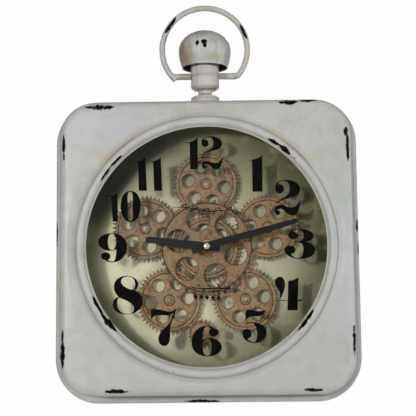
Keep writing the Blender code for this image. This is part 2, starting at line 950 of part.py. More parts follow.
def switch_slot(shape):
    block(
        shape,
        (37.3 * MM, back(54.0 * MM), -57.5 * MM),
        (40.7 * MM, back(66 * MM), -48.5 * MM),
    )


cut(switch, switch_slot)


def switch_slider():
    """Thumb piece with the tongue that runs in the switch body's slot."""
    slider = box_piece(
        "switch_slider",
        (36 * MM, back(57.8 * MM), -57.0 * MM),
        (42 * MM, back(60.8 * MM), -52.0 * MM),
        KNOB,
    )
    shape = bmesh.new()
    block(
        shape,
        (37.7 * MM, back(54.5 * MM), -56.5 * MM),
        (40.3 * MM, back(59.0 * MM), -52.5 * MM),
    )
    mesh = bpy.data.meshes.new("slider_tongue")
    shape.to_mesh(mesh)
    shape.free()
    tongue = bpy.data.objects.new("slider_tongue", mesh)
    tongue.hide_render = True
    tongue.display_type = "WIRE"
    cutters.objects.link(tongue)
    join = slider.modifiers.new("Tongue", "BOOLEAN")
    join.operation = "UNION"
    join.solver = "EXACT"
    join.object = tongue


switch_slider()

turned(
    "gear_motor",
    [
        (0, 55.6 * MM),
        (1.9 * MM, 55.6 * MM),
        (1.9 * MM, 46.5 * MM),
        (12.0 * MM, 46.5 * MM),
        (15.5 * MM, 47.5 * MM),
        (15.5 * MM, 57.5 * MM),
        (0, 57.5 * MM),
    ],
    STEEL,
    centre=PINION,
    steps=20,
)

# ---------------------------------------------------------------- hands


def hand_outline(length, tail, root_half, tip_half, hub_r):
    """Straight tapered baton that points up, with a round hub."""

    def half_width(z):
        return root_half + (tip_half - root_half) * max(0.0, z) / length

    corner = math.asin(root_half / hub_r)
    right = [(hub_r * math.sin(a), hub_r * math.cos(a)) for a in (
        corner + (math.pi - 2 * corner) * i / 8 for i in range(9)
    )]
    left = [(-x, z) for x, z in reversed(right)]
    tip = [(-tip_half, length), (tip_half, length)]
    end = [(root_half * 0.96, -tail), (-root_half * 0.96, -tail)]
    return tip + right + end + left


plate(
    "hour_hand",
    [hand_outline(HOUR_LENGTH, 16 * MM, 5.0 * MM, 3.9 * MM, 7.2 * MM), circle(3.0 * MM, 16)],
    13.0 * MM,
    1.0 * MM,
    BLACK,
    turn=HOUR_TURN,
)
plate(
    "minute_hand",
    [hand_outline(MINUTE_LENGTH, 19 * MM, 4.9 * MM, 3.1 * MM, 6.6 * MM), circle(1.95 * MM, 16)],
    9.9 * MM,
    1.0 * MM,
    BLACK,
    turn=MINUTE_TURN,
)
turned(
    "hour_tube",
    [
        (2.7 * MM, 12.5 * MM),
        (2.7 * MM, 49.5 * MM),
        (2.0 * MM, 49.5 * MM),
        (2.0 * MM, 12.5 * MM),
    ],
    BRASS,
    steps=16,
    ring=True,
)
turned(
    "minute_arbor",
    [(0, 8.8 * MM), (1.6 * MM, 8.8 * MM), (1.6 * MM, 64.0 * MM), (0, 64.0 * MM)],
    STEEL,
    steps=16,
)
nut_profile = [(0.0, 6.6 * MM)]
for i in range(1, 5):
    angle = math.radians(90 - 22.5 * i)
    nut_profile.append((4.1 * MM * math.cos(angle), (8.4 - 1.8 * math.sin(angle)) * MM))
nut_profile += [
    (4.1 * MM, 9.6 * MM),
    (1.95 * MM, 9.6 * MM),
    (1.95 * MM, 8.5 * MM),
    (0.0, 8.5 * MM),
]
turned("hand_nut", nut_profile, BRASS, steps=16)
turned(
    "setting_knob",
    [
        (0.0, 64.3 * MM),
        (1.95 * MM, 64.3 * MM),
        (1.95 * MM, 62.5 * MM),
        (6.6 * MM, 62.5 * MM),
        (6.6 * MM, 65.1 * MM),
        (0.0, 65.1 * MM),
    ],
    KNOB,
    steps=16,
)

for piece in parts.objects:
    if piece.type == "MESH" and len(piece.data.polygons):
        piece.data.shade_smooth()
        piece.data.set_sharp_from_angle(angle=math.radians(35))
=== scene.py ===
import math

import bmesh
import bpy
from mathutils import Euler, Matrix, Vector


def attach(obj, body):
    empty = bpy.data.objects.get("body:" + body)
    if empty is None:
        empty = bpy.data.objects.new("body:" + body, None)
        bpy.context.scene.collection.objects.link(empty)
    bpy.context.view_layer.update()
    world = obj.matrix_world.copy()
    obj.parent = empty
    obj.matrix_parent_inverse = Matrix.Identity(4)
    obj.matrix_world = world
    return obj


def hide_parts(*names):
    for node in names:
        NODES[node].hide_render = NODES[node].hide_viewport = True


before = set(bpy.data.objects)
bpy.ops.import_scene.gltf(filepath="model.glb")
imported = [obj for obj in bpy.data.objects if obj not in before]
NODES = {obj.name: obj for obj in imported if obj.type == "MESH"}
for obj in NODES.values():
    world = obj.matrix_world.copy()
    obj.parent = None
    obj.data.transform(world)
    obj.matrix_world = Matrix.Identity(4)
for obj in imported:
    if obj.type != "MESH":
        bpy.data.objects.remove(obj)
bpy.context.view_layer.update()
scene = bpy.context.scene
MM = 0.001
CASE_DEPTH = 67.0  # mm from the flat front face back to the wall


# ------------------------------------------------------------------ small helpers


def at(x, depth, z):
    """Millimetres, with depth behind the flat front face, to the frame."""
    return (x * MM, (depth - CASE_DEPTH) * MM, z * MM)


def polar(radius, degrees, centre=(0.0, 0.0)):
    a = math.radians(degrees)
    return (centre[0] + radius * math.cos(a), centre[1] + radius * math.sin(a))


def arc(centre, radius, start, end, steps):
    """Points of an arc in a profile plane, both ends included."""
    return [
        polar(radius, start + (end - start) * i / steps, centre)
        for i in range(steps + 1)
    ]


def ellipse_arc(centre, rx, ry, start, end, steps):
    points = []
    for i in range(steps + 1):
        a = math.radians(start + (end - start) * i / steps)
        points.append((centre[0] + rx * math.cos(a), centre[1] + ry * math.sin(a)))
    return points


def smooth_of(mesh, angle=32.0):
    mesh.shade_smooth()
    mesh.set_sharp_from_angle(angle=math.radians(angle))


def new_object(name, verts, faces, material, angle=32.0, origin=(0.0, 0.0, 0.0)):
    """A mesh object with its normals outward; verts in metres in the frame."""
    mesh = bpy.data.meshes.new(name)
    o = Vector(origin)
    mesh.from_pydata([tuple(Vector(v) - o) for v in verts], [], faces)
    bm = bmesh.new()
    bm.from_mesh(mesh)
    bmesh.ops.remove_doubles(bm, verts=bm.verts, dist=2e-6)
    bmesh.ops.recalc_face_normals(bm, faces=bm.faces)
    bm.to_mesh(mesh)
    bm.free()
    smooth_of(mesh, angle)
    obj = bpy.data.objects.new(name, mesh)
    obj.location = o
    scene.collection.objects.link(obj)
    if material:
        mesh.materials.append(material)
    return obj


def lathe(profile, steps, closed=False, axis="Y", centre=(0.0, 0.0), ripple=None):
    """Verts and faces of a turned shape. Profile points are (radius, position along the axis)."""
    verts, faces, rings = [], [], []
    for index, (radius, along) in enumerate(profile):
        ring = []
        if radius < 1e-6:
            ring = [len(verts)]
            verts.append(
                at(centre[0], along, centre[1])
                if axis == "Y"
                else at(centre[0], centre[1], along)
            )
        else:
            for s in range(steps):
                a = 2 * math.pi * s / steps
                r = radius + (ripple(a, radius, along) if ripple else 0.0)
                x, y = r * math.cos(a), r * math.sin(a)
                ring.append(len(verts))
                if axis == "Y":
                    verts.append(at(centre[0] + x, along, centre[1] + y))
                else:
                    verts.append(at(centre[0] + x, centre[1] + y, along))
        rings.append(ring)
    pairs = list(zip(rings, rings[1:]))
    if closed:
        pairs.append((rings[-1], rings[0]))
    for a, b in pairs:
        if len(a) == 1 and len(b) == 1:
            continue
        for s in range(steps):
            t = (s + 1) % steps
            if len(a) == 1:
                faces.append((a[0], b[t], b[s]))
            elif len(b) == 1:
                faces.append((a[s], a[t], b[0]))
            else:
                faces.append((a[s], a[t], b[t], b[s]))
    return verts, faces


def turned(name, profile, material, steps=96, closed=False, axis="Y", centre=(0.0, 0.0), ripple=None, angle=32.0, origin=(0.0, 0.0, 0.0)):
    verts, faces = lathe(profile, steps, closed, axis, centre, ripple)
    return new_object(name, verts, faces, material, angle, origin)


def rounded_path(half_x, half_z, radius, side_steps=14, corner_steps=18, centre=(0.0, 0.0)):
    """Points and outward normals round a rounded rectangle, counter-clockwise from the front."""
    points = []
    corners = [(1, -1, -90), (1, 1, 0), (-1, 1, 90), (-1, -1, 180)]
    for sx, sz, start in corners:
        cx, cz = centre[0] + sx * (half_x - radius), centre[1] + sz * (half_z - radius)
        for i in range(corner_steps + 1):
            a = math.radians(start + 90.0 * i / corner_steps)
            n = (math.cos(a), math.sin(a))
            points.append(((cx + radius * n[0], cz + radius * n[1]), n))
        # straight side to the next corner
        a = math.radians(start + 90.0)
        n = (math.cos(a), math.sin(a))
        run = 2 * ((half_z if abs(n[0]) > 0.5 else half_x) - radius)
        last = points[-1][0]
        d = (-n[1], n[0])
        for i in range(1, side_steps):
            points.append(
                (
                    (
                        last[0] + d[0] * run * i / side_steps,
                        last[1] + d[1] * run * i / side_steps,
                    ),
                    n,
                )
            )
    return points


def swept(path, section, closed=True):
    """Verts and faces of a section (outward offset, depth) carried round a closed path."""
    verts, faces = [], []
    m = len(section)
    for (x, z), (nx, nz) in path:
        for out, depth in section:
            verts.append(at(x + nx * out, depth, z + nz * out))
    n = len(path)
    for i in range(n):
        j = (i + 1) % n
        for k in range(m if closed else m - 1):
            l = (k + 1) % m
            faces.append((i * m + k, j * m + k, j * m + l, i * m + l))
    return verts, faces


def merge(*shapes):
    verts, faces = [], []
    for v, f in shapes:
        base = len(verts)
        verts += list(v)
        faces += [tuple(i + base for i in face) for face in f]
    return verts, faces


def outline_mesh(loops, front, rear, bevel=0.15, resolution=1):
    """Verts and faces of a flat piece cut to these loops of (x, z), from depth front to rear, with bevelled edges."""
    curve = bpy.data.curves.new("outline", "CURVE")
    curve.dimensions = "2D"
    curve.fill_mode = "BOTH"
    thickness = rear - front
    curve.extrude = (thickness / 2 - bevel) * MM
    curve.bevel_depth = bevel * MM
    curve.offset = -bevel * MM
    curve.bevel_resolution = resolution
    curve.resolution_u = 1
    for loop in loops:
        spline = curve.splines.new("POLY")
        spline.points.add(len(loop) - 1)
        for point, (x, z) in zip(spline.points, loop):
            point.co = (x * MM, z * MM, 0.0, 1.0)
        spline.use_cyclic_u = True
    holder = bpy.data.objects.new("outline", curve)
    scene.collection.objects.link(holder)
    bpy.context.view_layer.update()
    graph = bpy.context.evaluated_depsgraph_get()
    mesh = bpy.data.meshes.new_from_object(holder.evaluated_get(graph))
    middle = ((front + rear) / 2 - CASE_DEPTH) * MM
    verts = [(v.co.x, middle - v.co.z, v.co.y) for v in mesh.vertices]
    faces = [tuple(p.vertices) for p in mesh.polygons]
    bpy.data.objects.remove(holder, do_unlink=True)
    bpy.data.curves.remove(curve)
    bpy.data.meshes.remove(mesh)
    return verts, faces


def circle(radius, count, centre=(0.0, 0.0), start=0.0):
    return [polar(radius, start + 360.0 * i / count, centre) for i in range(count)]


def tube(points, radius, sides=20, cap=True, closed=False):
    """Verts and faces of a round rod through points given in millimetres as (x, depth, z)."""
    pts = [Vector(at(*p)) for p in points]
    n = len(pts)
    verts, faces = [], []
    side_axis = Vector((0.0, 1.0, 0.0))
    for i, p in enumerate(pts):
        if closed:
            t = pts[(i + 1) % n] - pts[i - 1]
        else:
            t = pts[min(i + 1, n - 1)] - pts[max(i - 1, 0)]
        t.normalize()
        a = side_axis - t * side_axis.dot(t)
        if a.length < 1e-6:
            a = Vector((0.0, 0.0, 1.0))
        a.normalize()
        b = t.cross(a)
        r = radius(i / (n - 1)) if callable(radius) else radius
        for s in range(sides):
            w = 2 * math.pi * s / sides
            verts.append(tuple(p + (a * math.cos(w) + b * math.sin(w)) * r * MM))
    for i in range(n if closed else n - 1):
        j = (i + 1) % n
        for s in range(sides):
            t = (s + 1) % sides
            faces.append((i * sides + s, i * sides + t, j * sides + t, j * sides + s))
    if cap and not closed:
        for i, end in ((0, pts[0]), (n - 1, pts[-1])):
            verts.append(tuple(end))
            c = len(verts) - 1
            for s in range(sides):
                faces.append((c, i * sides + s, i * sides + (s + 1) % sides))
    return verts, faces


def boolean(obj, cutter, operation="DIFFERENCE"):
    """Cuts obj with the object cutter, which is then removed."""
    modifier = obj.modifiers.new("cut", "BOOLEAN")
    modifier.operation = operation
    modifier.solver = "EXACT"
    modifier.object = cutter
    bpy.context.view_layer.update()
    graph = bpy.context.evaluated_depsgraph_get()
    mesh = bpy.data.meshes.new_from_object(obj.evaluated_get(graph))
    old = obj.data
    materials = list(old.materials)
    obj.modifiers.clear()
    obj.data = mesh
    bpy.data.meshes.remove(old)
    if not mesh.materials:
        for m in materials:
            mesh.materials.append(m)
    bpy.data.objects.remove(cutter, do_unlink=True)
    smooth_of(obj.data)
    return obj


def block(name, low, high, turn=0.0, centre=None):
    """A cutter box between two corners in millimetres, turned about the depth axis."""
    bm = bmesh.new()
    bmesh.ops.create_cube(bm, size=1.0)
    size = [(high[i] - low[i]) * MM for i in range(3)]
    middle = at(*[(high[i] + low[i]) / 2 for i in range(3)])
    for v in bm.verts:
        v.co = Vector((v.co.x * size[0], v.co.y * size[1], v.co.z * size[2]))
    mesh = bpy.data.meshes.new(name)
    bm.to_mesh(mesh)
    bm.free()
    obj = bpy.data.objects.new(name, mesh)
    obj.matrix_world = Matrix.Translation(middle) @ Matrix.Rotation(turn, 4, "Y")
    scene.collection.objects.link(obj)
    return obj


def finish_piece(obj, body, slot, *nodes):
    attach(obj, body)
    if nodes:
        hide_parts(*nodes)
    return obj


# ------------------------------------------------------------------ materials


def srgb(r, g, b):
    """8-bit display values to the linear colour the shader takes."""
    out = []
    for c in (r, g, b):
        c /= 255.0
        out.append(c / 12.92 if c <= 0.04045 else ((c + 0.055) / 1.055) ** 2.4)
    return (out[0], out[1], out[2], 1.0)


class Graph:
    """Short names for building a node tree."""

    def __init__(self, name):
        self.material = bpy.data.materials.new(name)
        self.material.use_nodes = True
        self.tree = self.material.node_tree
        self.nodes = self.tree.nodes
        self.shader = self.nodes["Principled BSDF"]
        self.coords = self.node("ShaderNodeTexCoord").outputs["Object"]

    def node(self, kind, **settings):
        n = self.nodes.new(kind)
        for key, value in settings.items():
            setattr(n, key, value)
        return n

    def link(self, a, b):
        self.tree.links.new(a, b)

    def put(self, socket, value):
        if isinstance(value, bpy.types.NodeSocket):
            self.link(value, socket)
        else:
            socket.default_value = value

    def math(self, operation, a, b=0.0, c=None, clamp=False):
        n = self.node("ShaderNodeMath", operation=operation, use_clamp=clamp)
        self.put(n.inputs[0], a)
        self.put(n.inputs[1], b)
        if c is not None:
            self.put(n.inputs[2], c)
        return n.outputs[0]

    def vec(self, operation, a, b=(0.0, 0.0, 0.0), scale=None):
        n = self.node("ShaderNodeVectorMath", operation=operation)
        self.put(n.inputs[0], a)
        if operation not in ("LENGTH", "SCALE", "NORMALIZE"):
            self.put(n.inputs[1], b)
        if scale is not None:
            self.put(n.inputs["Scale"], scale)
        return n.outputs["Value"] if operation in ("LENGTH", "DOT_PRODUCT", "DISTANCE") else n.outputs["Vector"]

    def noise(self, scale, detail=4.0, roughness=0.55, distortion=0.0, vector=None, offset=(0.0, 0.0, 0.0), stretch=None):
        v = vector or self.coords
        if offset != (0.0, 0.0, 0.0):
            v = self.vec("ADD", v, offset)
        if stretch:
            v = self.vec("MULTIPLY", v, stretch)
        n = self.node("ShaderNodeTexNoise")
        self.link(v, n.inputs["Vector"])
        n.inputs["Scale"].default_value = scale
        n.inputs["Detail"].default_value = detail
        n.inputs["Roughness"].default_value = roughness
        n.inputs["Distortion"].default_value = distortion
        return n.outputs["Fac"]

    def ramp(self, value, low, high, smooth=True):
        """0 below low, 1 above high. With low above high it runs the other way."""
        n = self.node("ShaderNodeMapRange", interpolation_type="SMOOTHSTEP" if smooth else "LINEAR", clamp=True)
        self.put(n.inputs["Value"], value)
        n.inputs["From Min"].default_value = low
        n.inputs["From Max"].default_value = high
        if low > high:
            n.inputs["From Min"].default_value = high
            n.inputs["From Max"].default_value = low
            n.inputs["To Min"].default_value = 1.0
            n.inputs["To Max"].default_value = 0.0
        return n.outputs["Result"]

    def mix(self, factor, a, b):
        n = self.node("ShaderNodeMix", data_type="RGBA", blend_type="MIX")
        self.put(n.inputs[0], factor)
        self.put(n.inputs[6], a)
        self.put(n.inputs[7], b)
        return n.outputs[2]

    def lerp(self, factor, a, b):
        n = self.node("ShaderNodeMix", data_type="FLOAT")
        self.put(n.inputs[0], factor)
        self.put(n.inputs[2], a)
        self.put(n.inputs[3], b)
        return n.outputs[0]

    def bump(self, height, strength, distance=0.001, normal=None):
        n = self.node("ShaderNodeBump")
        n.inputs["Strength"].default_value = strength
        n.inputs["Distance"].default_value = distance
        self.link(height, n.inputs["Height"])
        if normal is not None:
            self.link(normal, n.inputs["Normal"])
        return n.outputs["Normal"]

    def segment(self, a, b, squash=(1.0, 1.0, 1.0), vector=None, taper=None):
        """Distance from the surface point to the segment a-b, both in millimetres as (x, depth, z).
        With taper, the distance grows towards the two ends, so that a level set of it is a pointed lens."""
        v = vector or self.coords
        a, b = Vector(at(*a)), Vector(at(*b))
        k = Vector(squash)
        a = Vector((a.x * k.x, a.y * k.y, a.z * k.z))
        b = Vector((b.x * k.x, b.y * k.y, b.z * k.z))
        if squash != (1.0, 1.0, 1.0):
            v = self.vec("MULTIPLY", v, squash)
        d = b - a
        away = self.vec("SUBTRACT", v, tuple(a))
        if d.length < 1e-7:
            return self.vec("LENGTH", away)
        share = self.math("MULTIPLY", self.vec("DOT_PRODUCT", away, tuple(d)), 1.0 / d.length_squared, clamp=True)
        foot = self.vec("SCALE", tuple(d), scale=share)
        distance = self.vec("LENGTH", self.vec("SUBTRACT", away, foot))
        if taper:
            bow = self.math("MULTIPLY", self.math("MULTIPLY", share, self.math("SUBTRACT", 1.0, share)), 4.0)
            distance = self.math("DIVIDE", distance, self.lerp(bow, taper, 1.0))
        return distance


def radius_of(g, vector=None):
    """Distance from the depth axis through the object's origin, in metres."""
    flat = g.vec("MULTIPLY", vector or g.coords, (1.0, 0.0, 1.0))
    return g.vec("LENGTH", flat)


def aged_paint(name, chips=(), stain=None, tint=None, base=(191, 192, 187), chip_noise=420.0, groove=None, brushed=False, shaded_hollow=None, ragged_by=1.0, streaked=0.0):
    """Aged off-white enamel with soft mottling, tan staining, painted shade along grooves and inside a downward hollow,
    and chips down to a black primer.

    chips: (a, b, radius, squash), with a and b in millimetres as (x, depth, z)
    stain: not used (meant as a list of (a, b, radius, strength) tan patches)
    """
    g = Graph(name)
    broad = g.noise(9.0, 5.0, 0.6)
    fine = g.noise(70.0, 6.0, 0.62, offset=(3.1, 1.7, 0.4))
    grain = g.noise(420.0, 3.0, 0.6, offset=(0.3, 2.2, 5.0))
    light = srgb(*base)
    cool = srgb(base[0] - 11, base[1] - 8, base[2] - 6)
    warm = srgb(base[0] - 5, base[1] - 9, base[2] - 20)
    colour = g.mix(g.ramp(broad, 0.36, 0.64), light, cool)
    colour = g.mix(g.math("MULTIPLY", g.ramp(fine, 0.5, 0.78), 0.35), colour, warm)
    colour = g.mix(g.math("MULTIPLY", g.ramp(grain, 0.58, 0.74), 0.16), colour, srgb(150, 146, 132))
    blotch = g.noise(46.0, 4.0, 0.55, distortion=0.4, offset=(6.0, 2.0, 8.0))
    colour = g.mix(g.math("MULTIPLY", g.ramp(blotch, 0.44, 0.64), 0.75), colour, srgb(base[0] - 14, base[1] - 14, base[2] - 15))
    if streaked:  # rubbed-in grime lying in lines down the piece
        lines = g.noise(1.0, 4.0, 0.6, stretch=(330.0, 330.0, 14.0))
        colour = g.mix(g.math("MULTIPLY", g.ramp(lines, 0.46, 0.66), streaked), colour, srgb(134, 126, 112))
    if tint:
        for a, b, radius, strength, tone in tint:
            d = g.segment(a, b)
            d = g.math("ADD", d, g.math("MULTIPLY", g.math("SUBTRACT", fine, 0.5), radius * MM * 0.9))
            f = g.math("MULTIPLY", g.ramp(d, radius * MM, radius * MM * 0.12), strength)
            colour = g.mix(f, colour, srgb(*tone))
    # painted shade: each groove entry lays a darker line along a circle round the depth axis, where the shade of the
    # recess falls
    if groove:
        r = radius_of(g)
        for centre, width, strength, tone in groove:
            off = g.math("ABSOLUTE", g.math("SUBTRACT", r, centre * MM))
            line = g.ramp(off, width * MM, width * MM * 0.25)
            patchy = g.math("MULTIPLY", line, g.lerp(g.ramp(g.noise(16.0, 3.0, 0.6, offset=(7.0, 0.0, 2.0)), 0.38, 0.62), strength * 0.45, strength))
            colour = g.mix(patchy, colour, srgb(*tone))
    height = g.math("ADD", g.math("MULTIPLY", fine, 0.5), g.math("MULTIPLY", grain, 0.25))
    rough = g.lerp(fine, 0.34, 0.5)
    if shaded_hollow:  # painted shade: the inside of a cap open downwards, coloured near-black where shade falls: (axis depth, inner radius, height)
        depth, radius, height_z = shaded_hollow
        centre = at(0.0, depth, 0.0)
        flat = g.vec("MULTIPLY", g.vec("SUBTRACT", g.coords, centre), (1.0, 1.0, 0.0))
        inside = g.ramp(g.vec("LENGTH", flat), (radius + 0.5) * MM, radius * MM)
        split = g.node("ShaderNodeSeparateXYZ")
        g.link(g.coords, split.inputs[0])
        inside = g.math("MULTIPLY", inside, g.ramp(split.outputs["Z"], (height_z + 0.6) * MM, height_z * MM))
        colour = g.mix(inside, colour, srgb(40, 38, 35))
    if chips:
        ragged = g.noise(chip_noise, 4.0, 0.8, distortion=0.8, offset=(1.0, 4.0, 2.0))
        rag = ragged_by
        coarse = g.noise(chip_noise * 0.3, 2.0, 0.5, offset=(5.0, 1.0, 9.0))
        wobble = g.math("ADD", g.math("MULTIPLY", g.math("SUBTRACT", ragged, 0.5), 2.3 * rag), g.math("MULTIPLY", g.math("SUBTRACT", coarse, 0.5), 1.5 * rag))
        depth = None
        for a, b, radius, squash in chips:
            d = g.segment(a, b, squash, taper=0.42)
            share = g.math("SUBTRACT", g.math("DIVIDE", d, radius * MM), wobble)
            depth = share if depth is None else g.math("MINIMUM", depth, share)
        bare = g.ramp(depth, 1.12, 1.0, smooth=False)
        rim = g.ramp(depth, 1.5, 1.1)
        colour = g.mix(g.math("MULTIPLY", rim, 0.22), colour, srgb(176, 172, 158))
        colour = g.mix(bare, colour, g.mix(g.ramp(grain, 0.4, 0.7), srgb(5, 5, 7), srgb(14, 13, 12)))
        rough = g.lerp(bare, rough, 0.75)
        g.link(g.lerp(bare, 0.5, 0.1), g.shader.inputs["Specular IOR Level"])
        height = g.math("SUBTRACT", height, g.math("MULTIPLY", bare, 1.6))
    if brushed:
        rings = g.noise(1.0, 2.0, 0.5, stretch=(0.0, 0.0, 900.0))
        height = g.math("ADD", height, g.math("MULTIPLY", rings, 0.35))
        bands = g.noise(1.0, 3.0, 0.6, stretch=(6.0, 6.0, 380.0))
        colour = g.mix(g.math("MULTIPLY", g.ramp(bands, 0.5, 0.64), 0.58), colour, srgb(156, 145, 126))
    g.link(colour, g.shader.inputs["Base Color"])
    g.link(rough, g.shader.inputs["Roughness"])
    g.link(g.bump(height, 0.32, 0.00035), g.shader.inputs["Normal"])
    if not chips:
        g.shader.inputs["Specular IOR Level"].default_value = 0.5
    return g.material


def copper(name, rings=(), warm=0.5, windows=(), dull=0.0):
    """Antiqued copper wash over a toothed plate: pinkish-brown and orange patches, dark patina in grooves."""
    g = Graph(name)
    r = radius_of(g)
    broad = g.noise(28.0, 4.0, 0.6)
    fine = g.noise(160.0, 6.0, 0.68, offset=(2.0, 5.0, 1.0))
    grain = g.noise(700.0, 3.0, 0.6, offset=(4.0, 0.0, 3.0))
    tan = srgb(166, 138, 96)
    mauve = srgb(148, 124, 100)
    orange = srgb(176, 140, 90)
    cream = srgb(196, 184, 142)
    dark = srgb(40, 29, 22)
    colour = g.mix(g.ramp(broad, 0.4 - 0.1 * (warm - 0.5), 0.62), mauve if warm < 0.5 else tan, orange if warm > 0.3 else tan)
    colour = g.mix(g.math("MULTIPLY", g.ramp(fine, 0.53, 0.74), 0.6), colour, cream)
    colour = g.mix(g.math("MULTIPLY", g.ramp(fine, 0.5, 0.3), 0.8), colour, srgb(94, 70, 50))
    colour = g.mix(g.math("MULTIPLY", g.ramp(grain, 0.6, 0.72), 0.25), colour, dark)
    wander = g.math("MULTIPLY", g.math("SUBTRACT", fine, 0.5), 1.1 * MM)
    for centre, width, strength in rings:
        off = g.math("ABSOLUTE", g.math("SUBTRACT", g.math("ADD", r, wander), centre * MM))
        f = g.math("MULTIPLY", g.ramp(off, width * MM, width * MM * 0.3), strength)
        colour = g.mix(f, colour, dark)
    streak = g.noise(420.0, 5.0, 0.7, distortion=1.2, offset=(8.0, 3.0, 6.0))
    colour = g.mix(g.math("MULTIPLY", g.ramp(streak, 0.52, 0.34), 0.75), colour, srgb(72, 54, 40))
    colour = g.mix(g.math("MULTIPLY", g.ramp(g.noise(90.0, 4.0, 0.6, offset=(5.0, 5.0, 2.0)), 0.52, 0.66), 0.5), colour, srgb(134, 128, 98))
    if dull:
        colour = g.mix(dull, colour, srgb(70, 54, 40))
    for centre, radius in windows:
        flat = g.vec("SUBTRACT", g.vec("MULTIPLY", g.coords, (1.0, 0.0, 1.0)), (centre[0] * MM, 0.0, centre[1] * MM))
        off = g.math("ABSOLUTE", g.math("SUBTRACT", g.vec("LENGTH", flat), radius * MM))
        colour = g.mix(g.math("MULTIPLY", g.ramp(off, 1.5 * MM, 0.5 * MM), 0.6), colour, dark)
    metal = g.lerp(fine, 0.1, 0.3)
    rough = g.lerp(grain, 0.46, 0.64)
    g.link(colour, g.shader.inputs["Base Color"])
    g.link(metal, g.shader.inputs["Metallic"])
    g.link(rough, g.shader.inputs["Roughness"])
    height = g.math("ADD", g.math("MULTIPLY", fine, 0.6), g.math("MULTIPLY", grain, 0.3))
    g.link(g.bump(height, 0.4, 0.0003), g.shader.inputs["Normal"])
    return g.material


def dial_material():
    """Cream dial paint, darker and greyer-olive towards the rim, the top and the lower right, with foxing; a band of
    painted shade under the bezel, deepest on the left and at the upper left.
    """
    g = Graph("dial_cream")
    r = radius_of(g, g.vec("ADD", g.coords, (45 * MM, 0.0, 16 * MM)))
    broad = g.noise(10.0, 5.0, 0.6)
    fine = g.noise(60.0, 6.0, 0.6, offset=(1.0, 2.0, 3.0))
    specks = g.noise(380.0, 2.0, 0.5, offset=(9.0, 2.0, 3.0))
    soft = g.math("ADD", r, g.math("MULTIPLY", g.math("SUBTRACT", broad, 0.5), 34 * MM))
    split = g.node("ShaderNodeSeparateXYZ")
    g.link(g.coords, split.inputs[0])
    rim_darkening = g.ramp(soft, 90 * MM, 196 * MM, smooth=False)
    upper = g.ramp(g.math("ADD", split.outputs["Z"], g.math("MULTIPLY", g.math("SUBTRACT", broad, 0.5), 50 * MM)), 30 * MM, 88 * MM)
    lower = g.ramp(g.math("ADD", split.outputs["Z"], g.math("MULTIPLY", g.math("SUBTRACT", fine, 0.5), 40 * MM)), -78 * MM, -104 * MM)
    lower = g.math("MULTIPLY", lower, g.ramp(split.outputs["X"], -62 * MM, -12 * MM))
    # painted shade: the bezel's shadow on the left of the dial, laid in as a darkening near the rim
    side = g.math("MULTIPLY", g.ramp(split.outputs["X"], -30 * MM, -70 * MM), g.ramp(split.outputs["Z"], -45 * MM, 5 * MM))
    rim = g.math("MULTIPLY", g.ramp(radius_of(g), 118 * MM, 142 * MM), g.math("MULTIPLY", side, 0.8))
    # painted shade: a darkening all round the rim, where the bezel's shade falls
    rim_darkening = g.math("MAXIMUM", rim_darkening, g.math("MAXIMUM", rim, g.math("MULTIPLY", g.ramp(radius_of(g), 123 * MM, 147 * MM), 0.72)))
    keep_light = g.math("MULTIPLY", g.lerp(rim_darkening, 1.0, 0.1), g.math("MULTIPLY", g.lerp(upper, 1.0, 0.5), g.lerp(lower, 1.0, 0.58)))
    colour = g.mix(keep_light, srgb(78, 79, 34), srgb(248, 245, 205))
    # painted shadow: a near-black patch at the upper left rim, where the bezel's shadow is deepest
    corner = g.math("MULTIPLY", g.ramp(radius_of(g), 116 * MM, 136 * MM), g.math("MULTIPLY", g.ramp(split.outputs["X"], 10 * MM, -60 * MM), g.ramp(split.outputs["Z"], 10 * MM, 60 * MM)))
    colour = g.mix(g.math("MULTIPLY", g.ramp(fine, 0.45, 0.75), 0.35), colour, srgb(196, 194, 160))
    colour = g.mix(g.math("MULTIPLY", g.ramp(specks, 0.68, 0.78), 0.5), colour, srgb(120, 104, 74))
    colour = g.mix(g.math("MULTIPLY", corner, 0.8), colour, srgb(40, 41, 30))
    rough = g.lerp(fine, 0.55, 0.7)
    g.link(colour, g.shader.inputs["Base Color"])
    g.link(rough, g.shader.inputs["Roughness"])
    g.link(g.bump(g.math("ADD", fine, g.math("MULTIPLY", specks, 0.4)), 0.2, 0.0002), g.shader.inputs["Normal"])
    return g.material


def black_paint(name, tone=(24, 24, 24), gloss=0.4, dust=0.25, shine=0.4):
    g = Graph(name)
    fine = g.noise(240.0, 5.0, 0.6)
    broad = g.noise(40.0, 4.0, 0.6, offset=(3.0, 1.0, 7.0))
    colour = g.mix(g.math("MULTIPLY", g.ramp(broad, 0.45, 0.75), dust), srgb(*tone), srgb(tone[0] + 34, tone[1] + 32, tone[2] + 28))
    g.link(colour, g.shader.inputs["Base Color"])
    g.link(g.lerp(fine, gloss - 0.06, gloss + 0.12), g.shader.inputs["Roughness"])
    g.link(g.bump(fine, 0.15, 0.0002), g.shader.inputs["Normal"])
    g.shader.inputs["Specular IOR Level"].default_value = shine
    return g.material


def metal(name, light, dark, rough=0.35, scratch=260.0, metallic=1.0, spots=None):
    """Plated or bare metal with fine scratches, a mottled tone and dull spots."""
    g = Graph(name)
    fine = g.noise(scratch, 5.0, 0.65, stretch=(1.0, 1.0, 7.0))
    broad = g.noise(45.0, 4.0, 0.6, offset=(1.0, 1.0, 4.0))
    colour = g.mix(g.ramp(broad, 0.35, 0.68), srgb(*light), srgb(*dark))
    if spots:
        colour = g.mix(g.math("MULTIPLY", g.ramp(g.noise(190.0, 3.0, 0.6, offset=(6.0, 3.0, 0.0)), 0.6, 0.72), 0.7), colour, srgb(*spots))
    g.link(colour, g.shader.inputs["Base Color"])
    g.shader.inputs["Metallic"].default_value = metallic
    g.link(g.lerp(fine, rough - 0.08, rough + 0.16), g.shader.inputs["Roughness"])
    g.link(g.bump(fine, 0.2, 0.0002), g.shader.inputs["Normal"])
    return g.material


